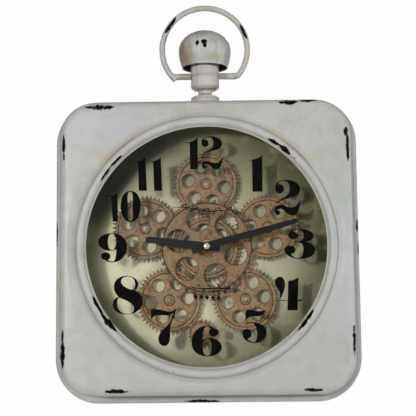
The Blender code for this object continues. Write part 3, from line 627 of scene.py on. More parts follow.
def rubber_or_plastic(name, tone, rough, scale=520.0, depth=0.0003):
    g = Graph(name)
    fine = g.noise(scale, 3.0, 0.6)
    broad = g.noise(60.0, 4.0, 0.6, offset=(2.0, 2.0, 2.0))
    pale = tuple(min(255, c + 18) for c in tone)
    g.link(g.mix(g.math("MULTIPLY", g.ramp(broad, 0.4, 0.7), 0.5), srgb(*tone), srgb(*pale)), g.shader.inputs["Base Color"])
    g.link(g.lerp(fine, rough - 0.08, rough + 0.1), g.shader.inputs["Roughness"])
    g.link(g.bump(fine, 0.3, depth), g.shader.inputs["Normal"])
    return g.material


def glass_material():
    g = Graph("clear_glass")
    smear = g.noise(14.0, 3.0, 0.6)
    g.shader.inputs["Base Color"].default_value = srgb(30, 34, 32)
    g.link(g.lerp(g.ramp(smear, 0.45, 0.75), 0.03, 0.09), g.shader.inputs["Roughness"])
    g.shader.inputs["Alpha"].default_value = 0.045
    g.shader.inputs["IOR"].default_value = 1.5
    return g.material


FRONT = (1.0, 0.55, 1.0)  # chips run further back over an edge than across it
SHELL_CHIPS = [
    (at_, bt_, r_, FRONT)
    for at_, bt_, r_ in (
        ((-147.0, 3.2, 172.3), (-111.0, 3.2, 172.2), 3.0),
        ((-131.0, 3.2, 171.4), (-116.0, 3.0, 172.4), 2.2),
        ((92.0, 4.4, 175.2), (113.5, 4.4, 175.8), 3.1),
        ((116.5, 5.4, 176.9), (137.0, 5.8, 177.8), 2.3),
        ((-173.7, 3.4, 143.5), (-173.5, 3.4, 105.5), 2.1),
        ((-174.2, 3.6, -97.0), (-174.4, 3.8, -122.0), 1.9),
        ((-174.5, 3.8, -112.0), (-174.0, 3.6, -145.5), 2.9),
        ((172.6, 3.4, 144.5), (171.0, 3.2, 132.0), 3.0),
        ((173.8, 3.4, 138.0), (173.6, 3.2, 100.0), 2.3),
        ((175.9, 5.0, -97.0), (175.1, 5.0, -138.5), 2.4),
        ((-124.0, 3.4, -173.2), (-94.5, 3.4, -173.4), 2.7),
        ((114.5, 3.5, -173.7), (137.5, 3.7, -174.0), 2.4),
    )
]
TAN = (156, 132, 100)
PAINT_SHELL = aged_paint(
    "aged_paint_shell",
    chips=SHELL_CHIPS,
    # painted shade: a grey line laid along the groove between the face and the bezel
    groove=[(161.8, 4.6, 0.42, (158, 155, 144))],
    tint=[
        ((-126.0, 0.0, 103.0), (-80.0, 0.0, 142.0), 9.0, 0.6, (186, 166, 136)),
        ((80.0, 0.0, 142.0), (126.0, 0.0, 103.0), 9.0, 0.55, (190, 172, 146)),
        ((-30.0, 0.0, 165.0), (36.0, 0.0, 166.0), 9.0, 0.4, (172, 164, 140)),
        ((-150.0, 0.0, 140.0), (-100.0, 0.0, 150.0), 40.0, 0.35, (190, 190, 200)),
        ((150.0, 0.0, 20.0), (165.0, 0.0, -80.0), 40.0, 0.4, (194, 195, 202)),
        ((-160.0, 0.0, -160.0), (160.0, 0.0, -170.0), 16.0, 0.2, (190, 188, 176)),
    ],
)
PAINT_BEZEL = aged_paint(
    "aged_paint_bezel",
    chips=[
        ((-128.0, -3.0, 80.1), (-116.5, -3.4, 97.0), 1.54, (1.0, 1.0, 1.0)),
        ((-116.0, -3.4, 97.6), (-101.3, -3.0, 112.5), 1.66, (1.0, 1.0, 1.0)),
        ((77.3, -3.0, 129.7), (90.5, -3.6, 121.2), 2.56, (1.0, 1.0, 1.0)),
        ((90.5, -3.6, 121.2), (102.6, -3.0, 110.8), 3.07, (1.0, 1.0, 1.0)),
        ((108.3, -3.0, 105.2), (108.6, -3.0, 104.9), 1.92, (1.0, 1.0, 1.0)),
        ((-136.6, -2.4, -61.4), (-124.5, -3.2, -83.0), 2.9, (1.0, 1.0, 1.0)),
        ((-126.0, -3.2, -82.0), (-109.0, -2.6, -101.2), 3.9, (1.0, 1.0, 1.0)),
        ((126.9, -2.6, -79.5), (109.4, -2.8, -102.5), 3.1, (1.0, 1.0, 1.0)),
        ((97.5, -2.2, -111.3), (98.0, -2.2, -110.9), 1.92, (1.0, 1.0, 1.0)),
        ((-40.9, -3.0, -150.5), (-40.4, -3.0, -150.6), 1.79, (1.0, 1.0, 1.0)),
    ],
    # painted shade: a grey line along the outer groove at 160 mm; a darker tan line along the inner lip at 147 mm
    groove=[(160.0, 3.4, 0.42, (150, 146, 134)), (147.0, 1.5, 0.5, (150, 134, 108))],
    tint=[
        ((-124.0, 0.0, 104.0), (-90.0, 0.0, 133.0), 5.0, 0.7, TAN),
        ((96.0, 0.0, 129.0), (128.0, 0.0, 98.0), 5.0, 0.6, TAN),
    ],
)
PAINT_FRAME = aged_paint(
    "aged_paint_frame",
    chips=[
        ((-190.4, 57.5, 37.0), (-190.4, 57.5, 6.4), 1.3, (1.0, 0.5, 1.0)),
        ((189.8, 57.0, 34.6), (189.6, 57.0, 20.7), 1.5, (1.0, 0.5, 1.0)),
        ((190.4, 57.5, 8.0), (190.3, 57.5, -9.8), 1.1, (1.0, 0.5, 1.0)),
        ((-30.0, 57.5, -189.0), (15.0, 57.5, -189.2), 1.9, (1.0, 0.5, 1.0)),
    ],
)
# dark tone where the crown's parts meet: grime together with painted contact shade
JOINT_GRIME_AND_SHADE = (116, 102, 84)
PAINT_CROWN = aged_paint(
    "aged_paint_crown",
    # painted light: the crown's paint is set lighter than the case's same paint, lifting the neck out of the shade
    # under the dome
    base=(211, 207, 198),
    streaked=0.28,
    brushed=True,
    tint=[
        # grime and painted contact shade at the foot of the base, the stem, under the neck and where the bow bars meet
        # the neck; the tan patch at 184 mm is a stain
        ((-16.0, 20.0, 180.6), (16.0, 20.0, 180.6), 5.0, 0.6, JOINT_GRIME_AND_SHADE),
        ((-18.0, 32.0, 180.6), (18.0, 32.0, 180.6), 4.0, 0.6, JOINT_GRIME_AND_SHADE),
        ((-10.0, 18.0, 184.0), (10.0, 18.0, 184.0), 9.0, 0.35, (176, 160, 128)),
        ((-10.0, 24.0, 191.6), (10.0, 24.0, 191.6), 3.2, 0.6, JOINT_GRIME_AND_SHADE),
        ((-9.0, 32.0, 197.6), (9.0, 32.0, 197.6), 3.4, 0.5, JOINT_GRIME_AND_SHADE),
        ((-17.0, 22.0, 199.4), (17.0, 22.0, 199.4), 5.2, 0.5, (140, 126, 104)),
        ((-19.0, 30.0, 213.5), (-17.0, 27.0, 214.5), 5.0, 0.8, (104, 74, 64)),
        ((19.0, 30.0, 214.5), (17.0, 27.0, 214.5), 4.6, 0.6, (120, 100, 78)),
        # painted shade on the left and right sides of the neck, just below the dome
        ((-17.6, 30.0, 222.0), (-16.0, 26.0, 229.0), 4.6, 0.6, (120, 112, 84)),
        ((17.6, 30.0, 222.0), (16.0, 26.0, 229.0), 4.6, 0.5, (132, 122, 96)),
        # painted shadow: a dark band on the neck under the dome's rim
        ((-13.0, 18.0, 229.5), (13.0, 18.0, 229.5), 4.0, 0.6, (70, 58, 50)),
        ((4.0, 15.0, 211.0), (8.0, 15.5, 211.0), 5.0, 0.4, (196, 184, 178)),
    ],
)
PAINT_DOME = aged_paint(
    "aged_paint_dome",
    chips=[
        ((-8.2, 0.0, 255.0), (-8.9, 0.0, 249.4), 2.3, (1.0, 0.3, 1.0)),
        ((-3.2, 0.0, 254.0), (2.9, 0.0, 254.2), 2.3, (1.0, 0.3, 1.0)),
        ((-2.3, 0.0, 252.2), (2.6, 0.0, 252.0), 2.4, (1.0, 0.3, 1.0)),
        ((0.3, 0.0, 251.0), (1.0, 0.0, 246.4), 2.2, (1.0, 0.3, 1.0)),
    ],
    chip_noise=520.0,
    ragged_by=0.35,
    streaked=0.45,
    # painted shade: the dome's open underside coloured near-black
    shaded_hollow=(32.0, 27.6, 243.2),
    tint=[
        ((-30.0, 24.0, 262.0), (-24.0, 12.0, 236.0), 20.0, 0.85, (140, 118, 98)),
        ((-18.0, 18.0, 276.0), (-4.0, 14.0, 268.0), 16.0, 0.8, (150, 134, 112)),
        ((6.0, 10.0, 268.0), (10.0, 4.0, 258.0), 10.0, 0.5, (182, 160, 154)),
        ((14.0, 18.0, 272.0), (28.0, 16.0, 262.0), 10.0, 0.45, (162, 150, 136)),
        ((-18.0, 6.0, 237.0), (16.0, 4.0, 236.0), 8.0, 0.6, (162, 154, 120)),
        ((28.0, 20.0, 250.0), (26.0, 14.0, 236.0), 7.0, 0.45, (158, 152, 140)),
    ],
)
PAINT_BOW = aged_paint(
    "aged_paint_bow",
    chips=[
        ((-49.4, 28.4, 273.6), (-36.4, 28.4, 292.6), 2.2, (1.0, 0.5, 1.0)),
        ((45.2, 28.4, 281.8), (53.6, 28.4, 264.6), 2.1, (1.0, 0.5, 1.0)),
    ],
    ragged_by=0.7,
    tint=[
        ((-8.0, 28.0, 306.0), (10.0, 28.0, 306.0), 14.0, 0.5, (180, 164, 150)),
        ((30.0, 28.0, 296.0), (44.0, 28.0, 284.0), 12.0, 0.45, (186, 176, 144)),
        ((58.0, 28.0, 252.0), (56.0, 28.0, 226.0), 14.0, 0.6, (196, 184, 154)),
        # darker tone where the bars meet the neck and the ring: grime together with painted contact shade
        ((-30.0, 28.0, 216.0), (-22.0, 28.0, 216.0), 8.0, 0.6, (160, 142, 112)),
        ((20.0, 28.0, 216.0), (26.0, 28.0, 216.0), 5.0, 0.7, (140, 122, 100)),
        ((-47.0, 28.0, 208.0), (-43.0, 28.0, 214.0), 5.0, 0.6, (150, 134, 110)),
        ((42.0, 28.0, 208.0), (38.0, 28.0, 213.0), 4.0, 0.6, (146, 134, 112)),
    ],
)
PAINT_BACK = aged_paint("aged_paint_back", base=(190, 190, 182), groove=None)
PLANET_TURNS = (48.75, 42.75, 6.75, 8.25, 54.75)
COPPER_FRONT = copper(
    "antique_copper_front", rings=[(55.1, 1.25, 0.95), (10.6, 0.8, 0.6), (57.2, 1.2, 0.4)], warm=0.55, dull=0.22,
    windows=[(polar(36.2, 46.6 + 60 * k), 14.2) for k in range(6)],
)
COPPER_SUN = copper("antique_copper_sun", rings=[(34.0, 0.9, 0.9), (38.3, 1.4, 0.7)], warm=0.4, windows=[(polar(22.7, 42 + 60 * k), 7.8) for k in range(6)])
COPPER_PLANET = [
    copper(
        "antique_copper_%d" % i, rings=[(34.0, 0.85, 0.9), (6.6, 1.0, 0.9), (38.2, 1.3, 0.65)], warm=w,
        windows=[(polar(22.7, 60 * k + t), 7.8) for k in range(6)],
    )
    for i, (w, t) in enumerate(zip((0.45, 0.25, 0.55, 0.8, 0.55), PLANET_TURNS), 1)
]
COPPER_PINION = copper("antique_copper_pinion", rings=[(14.2, 0.8, 0.85), (4.6, 0.9, 0.8)], warm=0.6)
BRASS = metal("aged_brass", (196, 160, 96), (150, 112, 62), 0.34, spots=(96, 68, 40))
COPPER_COLLAR = metal("copper_collar", (190, 152, 116), (150, 104, 78), 0.36, metallic=0.5, spots=(90, 60, 44))
NUT = metal("polished_nut", (236, 228, 200), (206, 196, 164), 0.3, spots=(90, 84, 70))
SCREW = metal("screw_plating", (204, 198, 190), (150, 142, 132), 0.42, metallic=0.6, spots=(92, 80, 68))
ZINC = metal("zinc_plating", (190, 190, 186), (150, 150, 148), 0.34, spots=(118, 112, 96))
BLACK = black_paint("hand_black_paint", (15, 15, 19), 0.55, 0.1, shine=0.3)
NUMERAL = black_paint("numeral_black_ink", (3, 4, 3), 0.8, 0.0, shine=0.12)
SCROLL = black_paint("scroll_ink", (20, 15, 13), 0.75, 0.05, shine=0.12)
DIAL = dial_material()
GLASS = glass_material()
RUBBER = rubber_or_plastic("bumper_rubber", (26, 26, 26), 0.78, 420.0)
PLASTIC = rubber_or_plastic("moulded_black_plastic", (30, 30, 31), 0.5, 900.0)
GREY_PLASTIC = rubber_or_plastic("moulded_grey_plastic", (150, 150, 148), 0.48, 900.0)
WRAP = rubber_or_plastic("battery_wrap", (42, 60, 76), 0.32, 300.0, 0.0001)


# ------------------------------------------------------------------ case: pressed front shell

HALF, CORNER, EDGE = 180.0, 44.0, 11.0
path = rounded_path(HALF - EDGE, HALF - EDGE, CORNER - EDGE, 18, 20)
hole_r = 160.4
rows = []
outer = [p for p, n in path]
# flat face: radial rows from the turned-in lip of the round opening to the start of the rolled edge
lip = [(hole_r + 0.1, 1.78), (hole_r + 0.2, 1.1), (hole_r + 1.4, 0.88), (hole_r + 2.8, 0.62), (hole_r + 4.4, 0.36), (hole_r + 6.2, 0.15), (hole_r + 8.4, 0.02)]
for r, depth in lip:
    row = []
    for x, z in outer:
        a = math.atan2(z, x)
        row.append((r * math.cos(a), depth, r * math.sin(a)))
    rows.append(row)
for share in (0.25, 0.5, 0.75):
    row = []
    for x, z in outer:
        a = math.atan2(z, x)
        r = lip[-1][0] + (math.hypot(x, z) - lip[-1][0]) * share
        row.append((r * math.cos(a), -0.25 * math.sin(math.pi * share) + 0.0, r * math.sin(a)))
    rows.append(row)
edge = [(EDGE * math.sin(math.radians(t)), EDGE * (1 - math.cos(math.radians(t)))) for t in range(0, 91, 6)]
edge += [(EDGE, d) for d in (16.0, 24.0, 34.0, 44.0, 52.0, 57.6)]
edge += [(EDGE - 1.5, 57.6)]
edge += [(EDGE - 1.5, d) for d in (44.0, 24.0, 12.0)]
edge += [((EDGE - 1.5) * math.sin(math.radians(t)), EDGE - (EDGE - 1.5) * math.cos(math.radians(t))) for t in range(84, -1, -12)]
for out, depth in edge:
    rows.append([(x + nx * out, depth, z + nz * out) for (x, z), (nx, nz) in path])
row = []
for x, z in outer:
    a = math.atan2(z, x)
    row.append(((hole_r + 3.2) * math.cos(a), 1.5, (hole_r + 3.2) * math.sin(a)))
rows.append(row)
row = []
for x, z in outer:
    a = math.atan2(z, x)
    row.append(((hole_r + 1.8) * math.cos(a), 1.78, (hole_r + 1.8) * math.sin(a)))
rows.append(row)
verts = [at(*p) for row in rows for p in row]
n = len(path)
faces = []
for i in range(len(rows)):
    j = (i + 1) % len(rows)
    for k in range(n):
        l = (k + 1) % n
        faces.append((i * n + k, i * n + l, j * n + l, j * n + k))
shell = new_object("case_front_shell", verts, faces, PAINT_SHELL, 40.0)
finish_piece(shell, "case", "case_paint", "front_shell")

# rear frame: rolled bead round the back edge, its fold and the flat inner flange
bead = [(5.9 + 5.6 * math.cos(math.radians(t)), 60.4 + 5.6 * math.sin(math.radians(t))) for t in range(196, 196 + 336, 14)]
section = [(-13.9, 58.4), (-0.6, 58.4), (0.25, 58.2), (0.35, 56.6), (0.9, 57.4)] + bead[1:] + [(-0.4, 59.8), (-13.9, 59.8)]
verts, faces = swept(rounded_path(HALF, HALF, CORNER, 16, 20), section)
rear = new_object("rear_rolled_frame", verts, faces, PAINT_FRAME, 50.0)
for sx in (-1, 1):
    for sz in (-1, 1):
        v, f = lathe([(0, 56.0), (1.9, 56.0), (1.9, 62.0), (0, 62.0)], 24, centre=(sx * 171.0, sz * 110.0))
        boolean(rear, new_object("cutter", v, f, None))
finish_piece(rear, "case", "case_paint", "rear_frame")

# ------------------------------------------------------------------ bezel, glass, retainer

crest = []
for i in range(45):  # broad rounded hump between the inner lip and the groove, from the groove inwards
    u = 1.0 - 2.0 * i / 44
    if u >= 0:
        crest.append((153.9 + 6.2 * u, 1.0 - 5.3 * (1.0 - u**2.6) ** 1.2))
    else:
        crest.append((153.9 + 5.9 * u, 0.5 - 4.8 * (1.0 - (-u) ** 2.8) ** 1.1))
profile = [(165.9, 3.0), (165.9, 1.85), (161.2, 1.85), (160.45, 1.7), (160.4, 1.15)]
profile += crest
profile += [(147.2, 0.42), (146.4, 0.75), (146.3, 1.1), (146.6, 1.5), (147.4, 1.8), (156.0, 1.9), (156.0, 3.0)]
bezel = turned("bezel_rolled_ring", profile, PAINT_BEZEL, 360, closed=True)
finish_piece(bezel, "case", "case_paint", "bezel_ring")

profile = [(0.0, 2.0), (60.0, 2.0), (120.0, 2.0), (154.9, 2.0), (155.6, 2.5), (155.6, 4.5), (154.9, 5.0), (120.0, 5.0), (60.0, 5.0), (0.0, 5.0)]
glass = turned("flat_glass_disc", profile, GLASS, 240)
finish_piece(glass, "case", "glass", "glass")

# ------------------------------------------------------------------ numerals on the back of the glass
# Each outline is drawn in its own small frame, u to the right and v down, and placed on the glass
# by (corner, step of u, step of v), all in millimetres.

ONE = "M180,45 C160,68 130,82 87,90 L49,91 L49,95 L84,99 L88,388 L181,388 Z"
TWO_TOP = (
    "M48,120 C45,85 75,45 150,45 C225,45 281,80 281,132 C281,180 235,205 190,212 C140,220 95,240 62,268 "
    "L56,264 C75,245 100,225 130,210 C165,190 184,165 184,125 C184,85 165,54 125,54 C105,54 85,66 76,86 "
    "C100,80 130,95 130,130 C130,155 112,173 88,173 C64,173 49,152 48,120 Z"
)
TWO_BASE = (
    "M280,225 C282,290 262,376 215,376 C175,376 150,350 125,325 C112,313 98,310 84,316 C75,320 70,326 70,330 "
    "C84,326 94,338 94,350 C94,364 82,372 71,372 C55,372 42,355 42,332 C42,300 62,278 95,278 "
    "C130,278 160,302 205,300 C240,298 262,275 280,225 Z"
)
SIX = (
    "M296,105 C296,127 275,144 250,144 C225,144 204,127 204,105 C204,88 215,75 228,70 C215,58 195,54 180,54 "
    "C155,60 147,100 147,175 C165,162 190,156 215,158 C280,162 324,200 324,245 C324,295 260,330 185,330 "
    "C95,330 42,270 42,195 C42,110 110,46 180,46 C215,46 245,55 252,68 C276,70 296,85 296,105 Z"
)
SIX_HOLE = "M188,165 C160,165 148,200 148,245 C148,290 160,322 188,322 C216,322 228,290 228,245 C228,200 216,165 188,165 Z"
NUMERALS = {
    "12": (
        ((-27.40, 140.84), (0.13199, -0.00190), (-0.00116, -0.13381)),
        [
            "M137,46 C128,62 100,84 66,93 L22,97 L22,100 L62,103 L67,345 L137,345 Z",
            (TWO_TOP, 0.825, 0.79, 132.0, 4.0),
            (TWO_BASE, 0.800, 0.78, 142.0, 53.0),
        ],
    ),
    "1": (((46.11, 117.33), (0.13149, -0.00186), (-0.00202, -0.13315)), [ONE]),
    "2": (((78.68, 85.86), (0.13102, -0.00180), (-0.00239, -0.13236)), [TWO_TOP, TWO_BASE]),
    "3": (
        ((88.54, 25.44), (0.13029, -0.00169), (-0.00249, -0.13094)),
        [
            "M85,107 C85,75 125,44 190,44 C262,44 322,70 322,110 C322,140 290,160 240,166 C300,170 339,205 339,240 "
            "C339,290 280,325 190,325 C130,325 62,295 52,250 C46,225 70,202 102,202 C134,202 154,220 154,241 "
            "C154,262 134,278 110,279 C125,300 150,317 180,317 C212,317 226,285 228,245 C229,205 215,172 185,169 "
            "L140,166 L128,160 L185,160 C215,158 230,135 230,105 C230,75 212,52 180,52 C160,52 140,60 128,72 "
            "C155,72 181,88 181,107 C181,127 160,142 133,142 C106,142 85,127 85,107 Z"
        ],
    ),
    "4": (
        ((76.54, -32.85), (0.12965, -0.00159), (-0.00234, -0.12960)),
        [
            "M92,45 C120,45 140,70 140,115 C140,170 115,220 92,250 L88,247 C95,215 95,195 85,175 C70,150 46,130 46,95 C46,65 65,45 92,45 Z",
            "M266,46 C250,65 215,78 170,82 L162,357 L256,357 Z",
            "M45,261 L163,264 L163,269 L45,267 Z",
            "M257,264 C275,262 290,252 300,243 C298,258 292,270 284,274 C276,274 266,270 257,269 Z",
        ],
    ),
    "5": (
        ((36.00, -72.20), (0.12932, -0.00152), (-0.00187, -0.12875)),
        [
            "M82,50 C105,42 135,42 160,50 C195,60 230,58 268,48 C262,75 235,105 190,106 C150,106 115,104 90,135 "
            "L87,166 C105,160 130,158 150,160 C220,165 276,205 276,255 C276,315 220,353 160,353 C105,353 60,325 48,275 "
            "C44,245 65,222 92,222 C118,222 138,242 138,266 C138,290 120,310 98,312 C112,330 135,344 160,344 "
            "C185,340 188,300 187,255 C186,205 165,168 130,168 C112,168 98,172 82,182 Z"
        ],
    ),
    "6": (((-24.58, -90.72), (0.12929, -0.00149), (-0.00116, -0.12841)), [SIX, SIX_HOLE]),
    "7": (
        ((-73.99, -69.70), (0.12968, -0.00153), (-0.00060, -0.12897)),
        [
            "M280,38 C275,85 262,120 240,165 C222,205 224,240 224,300 C224,355 205,392 170,392 C135,392 113,360 115,318 "
            "C118,275 150,245 180,220 C205,195 225,165 240,130 C248,110 254,98 258,82 C240,98 215,106 180,106 "
            "C140,106 100,96 70,118 C58,128 50,140 45,152 L45,52 C65,46 90,44 115,50 C150,58 185,72 225,70 "
            "C250,68 268,58 280,38 Z"
        ],
    ),
    "8": (
        ((-120.00, -30.44), (0.13028, -0.00160), (-0.00007, -0.12994)),
        [
            "M170,35 C235,35 281,70 281,115 C281,145 262,160 245,168 C290,190 322,225 322,270 C322,345 250,395 175,395 "
            "C100,395 44,360 44,300 C44,262 70,240 100,232 C70,205 54,175 54,140 C54,80 105,35 170,35 Z",
            "M185,42 C150,42 122,58 122,88 C122,125 175,155 232,168 C245,160 255,140 254,115 C252,70 225,42 185,42 Z",
            "M100,238 C150,255 200,275 225,305 C245,330 246,350 236,365 C225,383 205,389 178,389 C130,389 90,355 85,305 C83,275 90,250 100,238 Z",
        ],
    ),
    "9": (
        ((-137.09, 23.46), (0.13096, -0.00169), (0.00013, -0.13122)),
        [(SIX, -0.957, -0.957, 347.5, 363.5), (SIX_HOLE, -0.957, -0.957, 347.5, 363.5)],
    ),
    "10": (
        ((-127.31, 75.06), (0.13153, -0.00178), (0.00002, -0.13241)),
        [
            "M143,57 C135,75 110,88 83,92 L22,92 L22,95 L84,100 L99,332 L150,332 Z",
            "M267,45 C330,45 360,110 360,190 C360,270 325,336 267,336 C210,336 173,270 173,190 C173,110 205,45 267,45 Z",
            "M263,54 C242,54 238,75 238,120 L240,270 C241,305 246,326 264,326 C284,326 288,305 288,260 L286,120 C286,75 282,54 263,54 Z",
        ],
    ),
    "11": (
        ((-90.36, 118.01), (0.13191, -0.00186), (-0.00041, -0.13336)),
        [
            "M125,55 C115,72 85,88 55,95 L41,96 L41,99 L56,103 L64,370 L139,370 Z",
            "M268,55 C258,74 230,88 196,95 L149,96 L149,99 L196,104 L206,370 L279,370 Z",
        ],
    ),
}


def bezier(p, q, r, s, steps):
    out = []
    for i in range(1, steps + 1):
        t = i / steps
        a, b, c, d = (1 - t) ** 3, 3 * t * (1 - t) ** 2, 3 * t * t * (1 - t), t**3
        out.append((a * p[0] + b * q[0] + c * r[0] + d * s[0], a * p[1] + b * q[1] + c * r[1] + d * s[1]))
    return out


def outline_of(text, steps=12):
    """Points of one closed outline written as M, L, C and Z moves."""
    words = text.split()
    points, i = [], 0

    def pair(word):
        x, y = word.lstrip("MLC").split(",")
        return (float(x), float(y))

    while i < len(words):
        word = words[i]
        if word[0] in "ML":
            points.append(pair(word))
            i += 1
        elif word[0] == "C":
            points += bezier(points[-1], pair(words[i]), pair(words[i + 1]), pair(words[i + 2]), steps)
            i += 3
        else:
            i += 1
    return points


def placed(outline, place):
    corner, du, dv = place
    return [(corner[0] + u * du[0] + v * dv[0], corner[1] + u * du[1] + v * dv[1]) for u, v in outline]


INK_FRONT, INK_REAR = 5.06, 5.20
for label, (place, outlines) in NUMERALS.items():
    loops = []
    for item in outlines:
        if isinstance(item, tuple):
            text, sx, sy, ox, oy = item
            loops.append(placed([(u * sx + ox, v * sy + oy) for u, v in outline_of(text)], place))
        else:
            loops.append(placed(outline_of(item), place))
    verts, faces = outline_mesh(loops, INK_FRONT, INK_REAR, bevel=0.03, resolution=0)
    numeral = new_object("numeral_" + label, verts, faces, NUMERAL, 30.0)
    finish_piece(numeral, "case", "dial_paint")


# printed scrollwork on the inside of the glass, above and below the hands


def stroke(points, width, taper=True):
    """Outline of a pen stroke through these (x, z) points, pointed at both ends."""
    n = len(points)
    left, right = [], []
    for i, (x, z) in enumerate(points):
        (x0, z0), (x1, z1) = points[max(i - 1, 0)], points[min(i + 1, n - 1)]
        length = math.hypot(x1 - x0, z1 - z0)
        nx, nz = -(z1 - z0) / length, (x1 - x0) / length
        share = i / (n - 1)
        w = width / 2 * (0.25 + 0.75 * math.sin(math.pi * share) if taper else 1.0)
        left.append((x + nx * w, z + nz * w))
        right.append((x - nx * w, z - nz * w))
    return left + right[::-1]


def curl(centre, radius, start, sweep, shrink, width, count=26):
    """A spiral pen stroke."""
    points = []
    for i in range(count):
        share = i / (count - 1)
        points.append(polar(radius * (1.0 - shrink * share), start + sweep * share, centre))
    return stroke(points, width)


def lozenge(centre, half_x, half_z):
    x, z = centre
    return [(x + half_x, z), (x, z + half_z), (x - half_x, z), (x, z - half_z)]


def ornament(name, loops):
    for i, loop in enumerate(loops):
        verts, faces = outline_mesh([loop], INK_FRONT, INK_REAR, bevel=0.02, resolution=0)
        if i == 0:
            all_verts, all_faces = list(verts), list(faces)
            continue
        shift = len(all_verts)
        all_verts += verts
        all_faces += [tuple(v + shift for v in face) for face in faces]
    obj = new_object(name, all_verts, all_faces, SCROLL, 30.0)
    finish_piece(obj, "case", "dial_paint")


def along(share):
    """The line the upper scrollwork follows, from its left end to its right end."""
    return -42.0 + 87.0 * share, 47.0 - 6.5 * share + 1.6 * math.sin(3.0 * math.pi * share)


upper = [stroke([along(i / 40) for i in range(41)], 1.6)]
for i in range(11):
    x, z = along(0.1 + 0.08 * i)
    up = 1.0 if i % 2 else -1.0
    upper.append(curl((x, z + up * 2.3), 2.1, -90.0 * up, 300.0 * up, 0.6, 1.35, 18))
    if i < 10:
        x, z = along(0.14 + 0.08 * i)
        upper.append(lozenge((x, z - up * 2.1), 1.6, 1.3))
ornament("ornament_upper", upper)

lower = [stroke([(-23.0 + 62.0 * i / 40, -49.5 - 5.0 * i / 40 - 1.2 * math.sin(2.0 * math.pi * i / 40)) for i in range(41)], 1.7)]
for i in range(9):
    x = -17.0 + 6.2 * i
    z = -49.9 - 0.08 * (x + 17.0)
    up = 1.0 if i % 2 else -1.0
    lower.append(curl((x, z + up * 2.0), 1.9, -90.0 * up, 300.0 * up, 0.6, 1.4, 18))
ornament("ornament_lower", lower)

bar = []
for i in range(5):
    x = -14.0 + 7.0 * i
    bar.append(lozenge((x, -61.5 - 0.08 * (x + 14.0)), 2.9, 3.0 if i % 2 else 3.6))
    if i < 4:
        bar.append(circle(0.9, 10, (x + 3.5, -58.9 - 0.08 * (x + 14.0))))
        bar.append(circle(0.9, 10, (x + 3.5, -64.6 - 0.08 * (x + 14.0))))
ornament("ornament_bar", bar)


# ------------------------------------------------------------------ crown: base, neck, dome, bow

CROWN_Y = 32.0
ROUND_Z = dict(axis="Z", centre=(0.0, CROWN_Y))
base = [(0.0, 180.3), (17.0, 180.3), (17.6, 180.9), (17.9, 183.6), (17.8, 186.4)]
base += ellipse_arc((14.6, 187.2), 3.1, 2.9, 0.0, 80.0, 8)
base += [(12.2, 190.5), (10.0, 191.0), (9.1, 191.9), (8.8, 194.0), (8.8, 196.0), (9.1, 197.6), (8.9, 198.0), (0.0, 198.0)]
crown_base = turned("crown_base_turned", base, PAINT_CROWN, 96, **ROUND_Z, angle=40.0)
finish_piece(crown_base, "case", "case_paint", "crown_base")

neck = [(0.0, 198.3), (9.6, 198.3), (11.5, 198.8)]
neck += ellipse_arc((12.6, 203.8), 5.2, 5.0, -82.0, 0.0, 9)
z = 205.0
while z < 226.0:  # shallow turned rings
    neck += [(17.8, z), (17.62, z + 0.35), (17.62, z + 0.7), (17.8, z + 1.05)]
    z += 2.35
neck += [(17.75, 228.2), (18.0, 231.0), (18.7, 234.6), (19.8, 238.4), (20.4, 241.4), (20.1, 242.4), (0.0, 242.4)]
crown_neck = turned("crown_neck_turned", neck, PAINT_CROWN, 112, **ROUND_Z, angle=40.0)
finish_piece(crown_neck, "case", "case_paint", "crown_neck")


def flutes(a, radius, along):
    fade = max(0.0, min(1.0, (radius - 9.0) / 20.0)) * max(0.0, min(1.0, (along - 233.0) / 8.0))
    return 0.42 * fade * (abs(math.cos(14 * a)) ** 0.7 - 1.0)


dome = [(0.0, 275.3)]
dome += [(33.0 * math.sin(math.radians(t)), 249.3 + 26.0 * math.cos(math.radians(t))) for t in range(4, 91, 4)]
dome += [(33.0 * math.sqrt(1 - ((249.3 - z) / 41.7) ** 2), z) for z in (246.5, 243.5, 240.5, 237.5, 234.5, 232.0)]
dome += [(29.4, 230.0), (29.1, 228.8), (29.2, 228.1), (28.9, 227.5), (28.0, 227.5), (27.0, 228.4), (26.6, 231.0), (26.9, 236.0), (25.6, 240.6), (22.0, 242.6), (12.0, 242.75), (3.2, 242.75), (0.0, 242.75)]
crown_dome = turned("crown_dome_fluted", dome, PAINT_DOME, 196, **ROUND_Z, ripple=flutes, angle=50.0)
finish_piece(crown_dome, "case", "case_paint", "crown_dome")

bow_points = []
steps = 84
for i in range(steps + 1):
    a = math.radians(226.5 + (-41.5 - 226.5) * i / steps)
    bow_points.append((53.9 * math.cos(a), CROWN_Y, 251.5 + 53.9 * math.sin(a)))
shapes = [tube(bow_points, 3.6, 20)]
for side in (-1, 1):
    bar = [(side * x, CROWN_Y, 216.7) for x in (17.9, 22.0, 28.0, 34.0, 38.6, 41.0)]
    shapes.append(tube(bar, lambda t: 4.1 if t < 0.98 else 3.4, 20))
bow = new_object("bow_bent_rod", *shapes[0], PAINT_BOW, 50.0)
for v, f in shapes[1:]:
    boolean(bow, new_object("cutter", v, f, None, 50.0), "UNION")
smooth_of(bow.data, 50.0)
finish_piece(bow, "case", "case_paint", "bow")

# ------------------------------------------------------------------ gears


